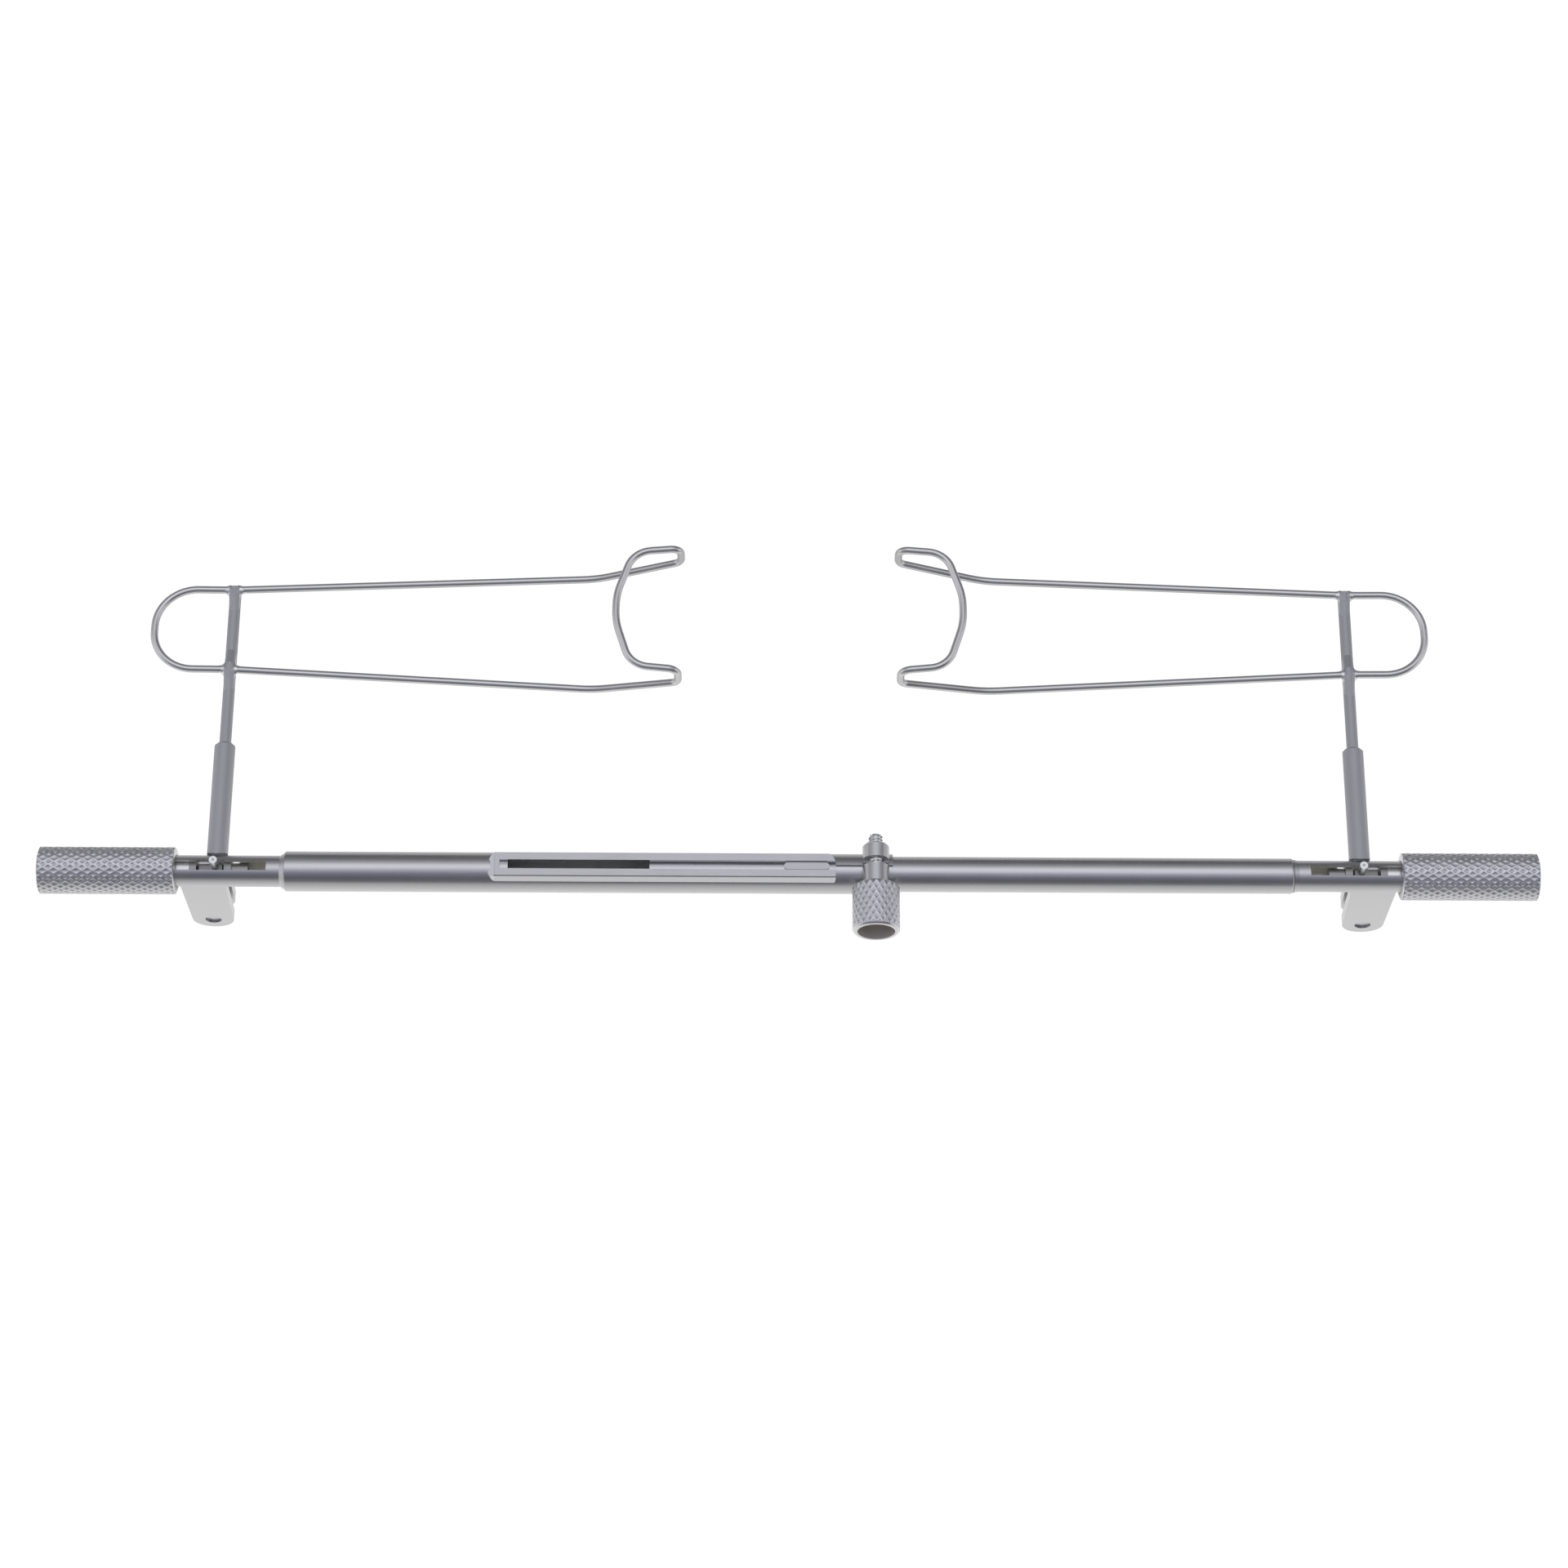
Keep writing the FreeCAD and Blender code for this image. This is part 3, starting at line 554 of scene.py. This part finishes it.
@dataclass
class Knurl:
    """A diamond knurl: two sets of raised lines that cross, each about 31 degrees off the axis, round pits.

    The steps are the width and the drop of each ring of a pit's wall. Under the pits the skin is
    as thick as its bedding, and the body's rims stand a lip lower than the crests.
    """

    CREST = "crest"
    SHARP = 50.0

    around: int = 22
    pitch: float = 1.17
    steps: tuple[tuple[float, float], ...] = ((0.025, 0.0), (0.08, 0.025), (0.085, 0.08), (0.04, 0.015))
    bedding: float = 0.03
    lip: float = 0.04

    @property
    def depth(self) -> float:
        """How deep the pits are."""
        return sum(drop for _, drop in self.steps)

    def sleeve(self, radius: float, start: float, end: float) -> Stock:
        """The knurled skin of a knob, cut off square at both ends.

        Args:
            radius: Radius over the crests.
            start: Where the skin starts along X.
            end: Where it ends.

        Returns:
            A closed shell whose inner wall is just under the foot of the grooves.
        """
        stock = Stock()
        bm = stock.bm
        foot = radius - self.depth
        rows = math.ceil((end - start) / self.pitch) + 1
        spare = (rows * self.pitch - (end - start)) / 2
        bmesh.ops.create_grid(bm, x_segments=rows, y_segments=self.around, size=0.5)
        for vert in bm.verts:
            turn = (vert.co.y + 0.5) * math.tau
            along = start - spare + (vert.co.x + 0.5) * rows * self.pitch
            vert.co = Vector((along, radius * math.cos(turn), radius * math.sin(turn)))
        bmesh.ops.remove_doubles(bm, verts=bm.verts, dist=MERGE_WITHIN)
        lines = [edge for edge in bm.edges if not edge.is_boundary]
        bmesh.ops.poke(bm, faces=bm.faces, offset=0.0, center_mode="MEAN")
        self._set_radius(bm.verts, radius)
        bmesh.ops.dissolve_edges(bm, edges=lines, use_verts=False)
        diamonds = bm.faces[:]
        if sum(face.normal.dot(Vector((0, *face.calc_center_median().yz))) for face in diamonds) < 0:
            bmesh.ops.reverse_faces(bm, faces=diamonds)
        for width, drop in self.steps:
            bmesh.ops.inset_individual(bm, faces=diamonds, thickness=width, depth=-drop, use_even_offset=True)
        for place, way in ((start, -1), (end, 1)):
            bmesh.ops.bisect_plane(bm, geom=bm.verts[:] + bm.edges[:] + bm.faces[:], dist=1e-5,
                                   plane_co=(place, 0, 0), plane_no=(way, 0, 0), clear_outer=True)
        # Height over the pits; the knurl's material paints shade into the pits by it
        layer = bm.verts.layers.float.new(self.CREST)
        for vert in bm.verts:
            vert[layer] = min(1.0, max(0.0, (vert.co.yz.length - foot) / self.depth))
        rims = [edge for edge in bm.edges if edge.is_boundary]
        grown = bmesh.ops.extrude_edge_only(bm, edges=rims)["geom"]
        inner = [item for item in grown if isinstance(item, bmesh.types.BMVert)]
        self._set_radius(inner, foot - self.bedding)
        bmesh.ops.bridge_loops(bm, edges=[edge for edge in bm.edges if edge.is_boundary])
        bmesh.ops.recalc_face_normals(bm, faces=bm.faces)
        return stock

    @staticmethod
    def _set_radius(verts: Sequence[bmesh.types.BMVert], radius: float) -> None:
        """Bring vertices to one distance from the axis."""
        for vert in verts:
            vert.co.yz = vert.co.yz.normalized() * radius

    def dressed(self, profile: Profile, radius: float, start: float, end: float) -> Stock:
        """A turned body with its knurled skin.

        Args:
            profile: The body's section, at the grooves' foot between start and end.
            radius: Radius over the crests.
            start: Where the skin starts along X.
            end: Where it ends.

        Returns:
            The two together, with the skin's faces numbered 0 and the body's 1.
        """
        body = Stock.turned(profile)
        for face in body.bm.faces:
            face.material_index = 1
        return body.join(self.sleeve(radius, start, end))


@dataclass
class ElevationKnob:
    """One of the two long knurled knobs at the ends of the bar."""

    side: Side
    start: float = 64.0
    length: float = 14.4
    radius: float = 2.475
    chamfer: float = 0.35
    rim: float = 0.14
    journal: float = 1.69
    step: float = 67.3
    thread_radius: float = 0.79
    cap: float = 2.5

    def build(self, finishes: Finishes) -> bpy.types.Object:
        """Make the knob in place of its CAD node.

        Args:
            finishes: The finishes to take from.

        Returns:
            The knob.
        """
        knurl = Knurl()
        end = self.start + self.length
        foot = self.radius - knurl.depth - knurl.bedding
        edge = self.radius - knurl.lip
        first, last = self.start + self.rim, end - self.rim
        profile = [
            (self.start, self.journal), (self.start, self.radius - self.chamfer), (first, edge),
            (first, foot), (last, foot), (last, edge), (end, self.radius - self.chamfer), (end, 0.0),
            (end - self.cap, 0.0), (end - self.cap, self.thread_radius), (self.step, self.thread_radius),
            (self.step, self.journal)]
        stock = knurl.dressed(profile, self.radius, first, last)
        inner = self.radius - 2 * self.chamfer
        for face in stock.bm.faces:
            if face.material_index == 1 and face.calc_center_median().yz.length > inner:
                face.material_index = 2
        stock.moved(Matrix.Scale(self.side.value, 4, (1, 0, 0)))
        name = f"{self.side.word}_elevation_knob"
        piece = stock.finished(
            f"{name}_knurled", (finishes.knurl, finishes.turned, finishes.rim), knurl.SHARP)
        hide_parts(name)
        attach(piece, f"{self.side.word}_knob")
        return piece


@dataclass
class Thumbscrew:
    """The clamp's screw: a threaded stud and a knurled, cupped knob.

    The seat and the web are measured from the bar's middle plane towards the knob, and the stud's
    tip away from it. The thread's crest lies between two shares of its pitch. The helix starts and
    ends some spare turns too far out, and is cut back.
    """

    x: float = 9.1
    z: float = 2.72
    stud_radius: float = 0.77
    stud_pitch: float = 0.35
    stud_depth: float = 0.19
    stud_tip: float = 3.15
    stud_chamfer: float = 0.12
    stud_crest: tuple[float, float] = (0.42, 0.58)
    stud_spare: int = 2
    stud_sharp: float = 40.0
    web: float = 5.19
    seat: float = 2.64
    length: float = 5.05
    radius: float = 2.475
    chamfer: float = 0.22
    seat_rim: float = 0.2
    cup_radius: float = 1.95
    bore: float = 0.81
    slack: float = 0.01
    facets: int = 28

    @property
    def along(self) -> Matrix:
        """From the X axis to the screw's axis, whose knob is towards -Y."""
        return Matrix.Translation((self.x, 0, self.z)) @ Matrix.Rotation(-math.pi / 2, 4, "Z")

    def stud(self, finishes: Finishes) -> bpy.types.Object:
        """The stud, with a helical thread.

        Args:
            finishes: The finishes to take from.

        Returns:
            The stud.
        """
        stock = Stock()
        bm = stock.bm
        low, high = -self.stud_tip, self.web
        turns = math.ceil((high - low) / self.stud_pitch) + 2 * self.stud_spare
        root = self.stud_radius - self.stud_depth
        first = low - self.stud_spare * self.stud_pitch
        section = ((0.0, root), *((share, self.stud_radius) for share in self.stud_crest), (1.0, root))
        points = [bm.verts.new((first + share * self.stud_pitch, radius, 0.0)) for share, radius in section]
        edges = [bm.edges.new(pair) for pair in zip(points, points[1:])]
        bmesh.ops.spin(bm, geom=points + edges, axis=(1, 0, 0), cent=(0, 0, 0), angle=math.tau * turns,
                       dvec=(self.stud_pitch / self.facets, 0, 0), steps=self.facets * turns)
        bmesh.ops.remove_doubles(bm, verts=bm.verts, dist=MERGE_WITHIN)
        for place, way in ((low, -1), (high, 1)):
            bmesh.ops.bisect_plane(bm, geom=bm.verts[:] + bm.edges[:] + bm.faces[:], dist=1e-5,
                                   plane_co=(place, 0, 0), plane_no=(way, 0, 0), clear_outer=True)
        bmesh.ops.holes_fill(bm, edges=[edge for edge in bm.edges if edge.is_boundary], sides=0)
        for vert in bm.verts:
            depth = max(0.0, low + self.stud_chamfer - vert.co.x)
            most = self.stud_radius - depth
            if depth and vert.co.yz.length > most:
                vert.co.yz = vert.co.yz.normalized() * most
        bmesh.ops.recalc_face_normals(bm, faces=bm.faces)
        piece = stock.moved(self.along).finished("clamp_stud_threaded", (finishes.thread,), self.stud_sharp)
        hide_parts("clamp_stud")
        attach(piece, "clamp_screw")
        return piece

    def knob(self, finishes: Finishes) -> bpy.types.Object:
        """The knob, with a cup in its outer end.

        Args:
            finishes: The finishes to take from.

        Returns:
            The knob.
        """
        knurl = Knurl()
        end = self.seat + self.length
        foot = self.radius - knurl.depth - knurl.bedding
        edge = self.radius - knurl.lip
        first, last = self.seat + self.seat_rim, end - self.chamfer
        profile = [
            (self.seat, self.bore), (self.seat, self.radius - self.chamfer), (first, edge),
            (first, foot), (last, foot), (last, edge), (end, self.radius - self.chamfer),
            (end, self.cup_radius), (self.web, self.cup_radius), (self.web, self.bore)]
        stock = knurl.dressed(profile, self.radius, first, last)
        for face in stock.bm.faces:
            middle = face.calc_center_median()
            if face.material_index == 1 and middle.x > self.web - self.slack:
                face.material_index = 2 if middle.yz.length > self.cup_radius else 3
        piece = stock.moved(self.along).finished(
            "clamp_knob_knurled", (finishes.knurl, finishes.turned, finishes.rim, finishes.cup), knurl.SHARP)
        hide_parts("clamp_knob")
        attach(piece, "thumb_knob")
        return piece


@dataclass
class BrazedJoint:
    """Braze metal in the corners where the blade's wire crosses the rod of an arm.

    The rough metal is a flat saddle along the rod, a ramp from each end of it down to the rod,
    and two cones on each side along the wire, a wide one and a long one. Each cone is given by
    what its two ends add to the wire's radius, and by its height as a share of its width. The
    bars are then joined under one skin, and the skin is smoothed. Where the rod ends, there is no
    ramp on that side, and the braze is cut off flat.
    """

    side: Side
    word: str
    y: float
    lean: float
    rod_end: float
    rod_x: float = 59.87
    rod_radius: float = 0.60
    rod_margin: float = 0.04
    wire_radius: float = 0.375
    wire_height: float = 0.675
    crest: float = 1.15
    saddle: float = 0.8
    ramp: float = 2.7
    ramp_top: float = 0.7
    ramp_sink: float = 0.06
    ramp_slack: float = 0.02
    fillet: float = 0.62
    cone_ends: tuple[float, float, float] = (-0.4, 0.4, 1.3)
    wide_cone: tuple[float, float, float] = (0.62, 0.14, 0.46)
    long_cone: tuple[float, float, float] = (0.2, -0.02, 0.85)
    cut_margin: float = 0.03
    voxel: float = 0.045
    passes: int = 12
    facets: int = 40

    def _bar(self, start: Vector, end: Vector, radius: float, end_radius: float, flat: float = 1.0) -> Stock:
        """A short bar or cone between two points beside the crossing.

        Args:
            start: The middle of its first face.
            end: The middle of its last face.
            radius: Radius at the start.
            end_radius: Radius at the end.
            flat: Its height as a share of its width.

        Returns:
            The bar.
        """
        stock = Stock()
        way = end - start
        bmesh.ops.create_cone(stock.bm, cap_ends=True, segments=self.facets, radius1=radius,
                              radius2=end_radius, depth=way.length)
        middle = Vector((self.rod_x, self.y, 0)) + (start + end) / 2
        return stock.moved(Matrix.Translation(middle) @ Matrix.Scale(flat, 4, (0, 0, 1))
                           @ way.to_track_quat("Z", "Y").to_matrix().to_4x4())

    def _rough(self, at_end: bool) -> Stock:
        """The metal before it flows.

        Args:
            at_end: Whether the rod ends at this joint.

        Returns:
            The bars that cross, as separate shells.
        """
        height = (self.crest + self.rod_radius) / 2
        middle = Vector((0, 0, self.crest - height))
        far = self.wire_radius if at_end else self.saddle
        rough = self._bar(middle - Vector((0, self.saddle, 0)), middle + Vector((0, far, 0)),
                          self.rod_radius, self.rod_radius, height / self.rod_radius)
        for way in (-1,) if at_end else (-1, 1):
            low = Vector((0, way * self.ramp, -self.ramp_sink))
            high = Vector((0, way * self.saddle * self.ramp_top, self.crest - self.rod_radius))
            rough.join(self._bar(low, high, self.rod_radius - self.ramp_slack, self.rod_radius))
        wire = Vector((0, 0, self.wire_height))
        along = Vector((math.cos(self.lean), math.sin(self.lean), 0))
        for way in (-1, 1):
            foot, near, tip = (wire + along * (way * (self.rod_radius + self.fillet * share))
                               for share in self.cone_ends)
            for end, (more, end_more, flat) in ((near, self.wide_cone), (tip, self.long_cone)):
                rough.join(self._bar(foot, end, self.wire_radius + more, self.wire_radius + end_more, flat))
        return rough

    def _flowed(self, rough: Stock) -> Stock:
        """Join the rough metal under one skin, and smooth it.

        Args:
            rough: The rough metal; it is used up.

        Returns:
            The smooth skin.
        """
        mesh = bpy.data.meshes.new("braze_rough")
        rough.bm.to_mesh(mesh)
        rough.bm.free()
        holder = bpy.data.objects.new("braze_rough", mesh)
        bpy.context.scene.collection.objects.link(holder)
        remesh = holder.modifiers.new("flow", "REMESH")
        remesh.mode = "VOXEL"
        remesh.voxel_size = self.voxel
        skin = holder.evaluated_get(bpy.context.evaluated_depsgraph_get()).to_mesh()
        stock = Stock()
        stock.bm.from_mesh(skin)
        bpy.data.objects.remove(holder)
        for _ in range(self.passes):
            bmesh.ops.smooth_vert(stock.bm, verts=stock.bm.verts, factor=0.5,
                                  use_axis_x=True, use_axis_y=True, use_axis_z=True)
        return stock

    def build(self, finishes: Finishes) -> bpy.types.Object:
        """Flow the braze over the wire and into the corners.

        Args:
            finishes: The finishes to take from.

        Returns:
            The braze.
        """
        at_end = self.rod_end < self.y + self.saddle
        stock = self._flowed(self._rough(at_end))
        if at_end:
            for vert in stock.bm.verts:
                vert.co.y = min(vert.co.y, self.y + self.wire_radius + self.cut_margin)
        stock.moved(Matrix.Scale(self.side.value, 4, (1, 0, 0)))
        for face in stock.bm.faces:
            aside = abs(abs(face.calc_center_median().x) - self.rod_x)
            face.material_index = int(aside < self.rod_radius - self.rod_margin)
        piece = stock.finished(f"{self.side.word}_braze_{self.word}", (finishes.braze, finishes.arm), 180.0)
        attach(piece, f"{self.side.word}_arm")
        return piece


@dataclass
class Arm:
    """One arm: its CAD stem, rod and wire dressed in steel, and the braze that joins them."""

    side: Side
    blade_middle: float = 28.05
    half_at_rod: float = 4.78
    rod_overhang: float = 0.2

    def build(self, finishes: Finishes) -> None:
        """Dress the arm.

        Args:
            finishes: The finishes to take from.
        """
        word = self.side.word
        for node in ("stem", "cross_rod"):
            dress(f"{word}_{node}", finishes.arm)
        dress(f"{word}_blade_wire", finishes.wire)
        # The lever gets the dark finish, painted shade in the slot
        dress(f"{word}_lever", finishes.recess)
        dress(f"{word}_lever_peg", finishes.braze)
        near, far = self.blade_middle - self.half_at_rod, self.blade_middle + self.half_at_rod
        BrazedJoint(self.side, "near", near, 0.033, far).build(finishes)
        BrazedJoint(self.side, "far", far, -0.015, far + self.rod_overhang).build(finishes)


@dataclass
class BarEnd:
    """One end of the bar: the lever housing, what runs in it, and its knob."""

    side: Side

    def build(self, finishes: Finishes) -> None:
        """Dress the end.

        Args:
            finishes: The finishes to take from.
        """
        word = self.side.word
        dress(f"{word}_housing", finishes.milled)
        for node in ("pivot_pin", "retaining_ring"):
            dress(f"{word}_{node}", finishes.turned)
        # The rod's inboard part is painted dark, painted shade inside the housing
        dress(f"{word}_draw_rod", finishes.rod)
        ElevationKnob(self.side).build(finishes)


@dataclass
class Bar:
    """The telescoping bar with its rail, key and clamp."""

    def build(self, finishes: Finishes) -> None:
        """Dress the bar.

        Args:
            finishes: The finishes to take from.
        """
        dress("barrel_tube", finishes.barrel)
        dress("slide_tube", finishes.tube)
        for node in ("guide_rail", "guide_key"):
            dress(node, finishes.flat)
        for node in ("clamp_lug_front", "clamp_lug_rear"):
            dress(node, finishes.turned)
        screw = Thumbscrew()
        screw.stud(finishes)
        screw.knob(finishes)


@dataclass
class Studio:
    """A pale floor, a soft light overhead and the camera of the photograph.

    The lamp is a list of degrees from its middle and levels. The card is what the metal sees of
    the floor, the flank what it sees to the left and right, and the horizon what lies beyond the
    bar's two ends. A step, like the height of the front's, is where it starts and its width. The
    camera's sizes are in millimetres, but for its clip distances, which are in metres.
    """

    lens: float = 92.03
    sensor: float = 36.0
    clip: tuple[float, float] = (0.01, 10.0)
    depression: float = math.radians(65.0)
    roll: float = math.radians(0.28)
    distance: float = 419.5
    raised: float = 9.4
    shifted: float = -0.5
    floor_half: float = 900.0
    floor_white: float = 0.8
    floor_bright: float = 1.19
    floor_colour: Colour = (0.9, 0.9, 0.9)
    floor_gap: float = 0.02
    seen_step: tuple[float, float] = (0.1, 0.1)
    card_base: float = 0.51
    card_peak: float = 0.66
    card_lean: float = -0.06
    flank: float = 0.07
    flank_share: float = 0.58
    flank_lean: float = 0.08
    flank_step: tuple[float, float] = (0.22, 0.35)
    horizon: float = 0.90
    horizon_step: tuple[float, float] = (0.80, 0.15)
    tint: Colour = (1.0, 1.0, 1.09)
    front_tint: Colour = (1.0, 1.02, 1.26)
    front_step: tuple[float, float] = (0.0, 0.5)
    front_height: tuple[float, float] = (0.3, 0.4)
    lamp_lean: float = math.radians(8.5)
    lamp: tuple[tuple[float, float], ...] = (
        (0, 1.10), (10, 0.98), (17, 0.76), (23, 0.57), (30, 0.42), (38, 0.31), (48, 0.22), (60, 0.165),
        (75, 0.155), (90, 0.22), (110, 0.60), (180, 0.90))

    def build(self) -> None:
        """Set up the floor, the light and the camera."""
        self._floor()
        self._light()
        self._camera()

    def _floor(self) -> None:
        """The floor: pale, with the object's shadow, white to the camera and a grey card to the metal."""
        low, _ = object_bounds()
        bm = bmesh.new()
        bmesh.ops.create_grid(bm, x_segments=1, y_segments=1, size=self.floor_half * MM)
        bmesh.ops.translate(bm, vec=(0, 0, low.z - self.floor_gap * MM), verts=bm.verts)
        mesh = bpy.data.meshes.new("floor")
        bm.to_mesh(mesh)
        bm.free()
        material = bpy.data.materials.new("pale_floor")
        material.use_nodes = True
        graph = Graph(material.node_tree)
        rays = graph.node("ShaderNodeLightPath").outputs
        camera = Number(graph, rays["Is Camera Ray"])
        seen = (camera + Number(graph, rays["Is Glossy Ray"])
                + Number(graph, rays["Is Transmission Ray"])).above(*self.seen_step)
        place = graph.node("ShaderNodeSeparateXYZ", None,
                           {0: graph.node("ShaderNodeTexCoord").outputs["Object"]}).outputs
        behind = Number(graph, place["Y"]) * (-1 / low.z)
        reach = (behind * behind + 1) ** 0.5
        card = (behind * self.card_lean + self.card_peak) / reach + self.card_base
        bright = card + (self.floor_bright - card) * camera
        tone = graph.node("ShaderNodeCombineXYZ", None, {0: bright, 1: bright, 2: bright})
        matt = graph.node("ShaderNodeBsdfDiffuse", None, {"Color": (*self.floor_colour, 1.0)})
        white = graph.node("ShaderNodeEmission", None, {"Color": tone.outputs[0], "Strength": 1.0})
        mixed = graph.node("ShaderNodeMixShader", None,
                           {0: seen * self.floor_white, 1: matt.outputs[0], 2: white.outputs[0]})
        graph.node("ShaderNodeOutputMaterial", None, {"Surface": mixed.outputs[0]})
        mesh.materials.append(material)
        floor = bpy.data.objects.new("floor", mesh)
        bpy.context.scene.collection.objects.link(floor)
        floor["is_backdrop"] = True

    def _light(self) -> None:
        """A white background, and a studio that is bright overhead and dark lower down."""
        world = bpy.data.worlds.new("studio")
        world.use_nodes = True
        bpy.context.scene.world = world
        graph = Graph(world.node_tree)
        way = graph.node("ShaderNodeTexCoord").outputs["Generated"]
        facing = graph.node("ShaderNodeVectorMath", {"operation": "DOT_PRODUCT"},
                            {0: way, 1: (0.0, math.sin(self.lamp_lean), math.cos(self.lamp_lean))})
        parts = graph.node("ShaderNodeSeparateXYZ", None, {0: way}).outputs
        aside = Number(graph, parts["X"])
        upright = Number(graph, facing.outputs["Value"]) / (1 - aside * aside) ** 0.5
        angle = graph.node("ShaderNodeMath", {"operation": "ARCCOSINE"}, {0: upright})
        glow = graph.node("ShaderNodeValToRGB", {"stops": [
            (degrees / 180, (level,) * 3) for degrees, level in self.lamp]},
            {"Fac": Number(graph, angle.outputs[0]) * (1 / math.pi)})
        front = ((0 - Number(graph, parts["Y"])).above(*self.front_step)
                 * Number(graph, parts["Z"]).above(*self.front_height))
        tint = graph.mix(front, self.tint, self.front_tint)
        lamp = Number(graph, glow.outputs["Color"])
        across = (aside * aside) ** 0.5
        flank = self.flank + lamp * self.flank_share - aside * self.flank_lean
        level = lamp + (flank - lamp) * across.above(*self.flank_step)
        level = level + (self.horizon - level) * across.above(*self.horizon_step)
        colour = graph.node("ShaderNodeVectorMath", {"operation": "SCALE"}, {0: tint, "Scale": level})
        studio = graph.node("ShaderNodeBackground", None, {"Color": colour.outputs[0], "Strength": 1.0})
        white = graph.node("ShaderNodeBackground", None, {"Color": (1.0, 1.0, 1.0, 1.0), "Strength": 1.0})
        rays = graph.node("ShaderNodeLightPath").outputs
        mixed = graph.node("ShaderNodeMixShader", None,
                           {0: rays["Is Camera Ray"], 1: studio.outputs[0], 2: white.outputs[0]})
        graph.node("ShaderNodeOutputWorld", None, {"Surface": mixed.outputs[0]})

    def _camera(self) -> None:
        """The camera, above and in front of the bar."""
        ahead = Vector((0, math.cos(self.depression), -math.sin(self.depression)))
        up = Vector((0, math.sin(self.depression), math.cos(self.depression)))
        right = Vector((1, 0, 0))
        place = (right * self.shifted - ahead * self.distance + up * self.raised) * MM
        turned_right = right * math.cos(self.roll) + up * math.sin(self.roll)
        turned_up = up * math.cos(self.roll) - right * math.sin(self.roll)
        data = bpy.data.cameras.new("camera")
        data.lens = self.lens
        data.sensor_width = self.sensor
        data.clip_start, data.clip_end = self.clip
        camera = bpy.data.objects.new("camera", data)
        bpy.context.scene.collection.objects.link(camera)
        turn = Matrix((turned_right, turned_up, -ahead)).transposed().to_4x4()
        camera.matrix_world = Matrix.Translation(place) @ turn
        bpy.context.scene.camera = camera


def dress(node: str, material: bpy.types.Material) -> None:
    """Give a CAD node its finish.

    Args:
        node: The node's name.
        material: The finish.
    """
    mesh = bpy.data.objects[node].data
    mesh.materials.clear()
    mesh.materials.append(material)
    log.info("%s: %s", node, material.name)


def main() -> None:
    """Build the dressed instrument and its studio."""
    logging.basicConfig(level=logging.INFO, format="%(message)s")
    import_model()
    finishes = Finishes()
    Bar().build(finishes)
    for side in Side:
        BarEnd(side).build(finishes)
        Arm(side).build(finishes)
    Studio().build()
    scene = bpy.context.scene
    scene.view_settings.view_transform = "Standard"


if __name__ == "__main__":
    main()
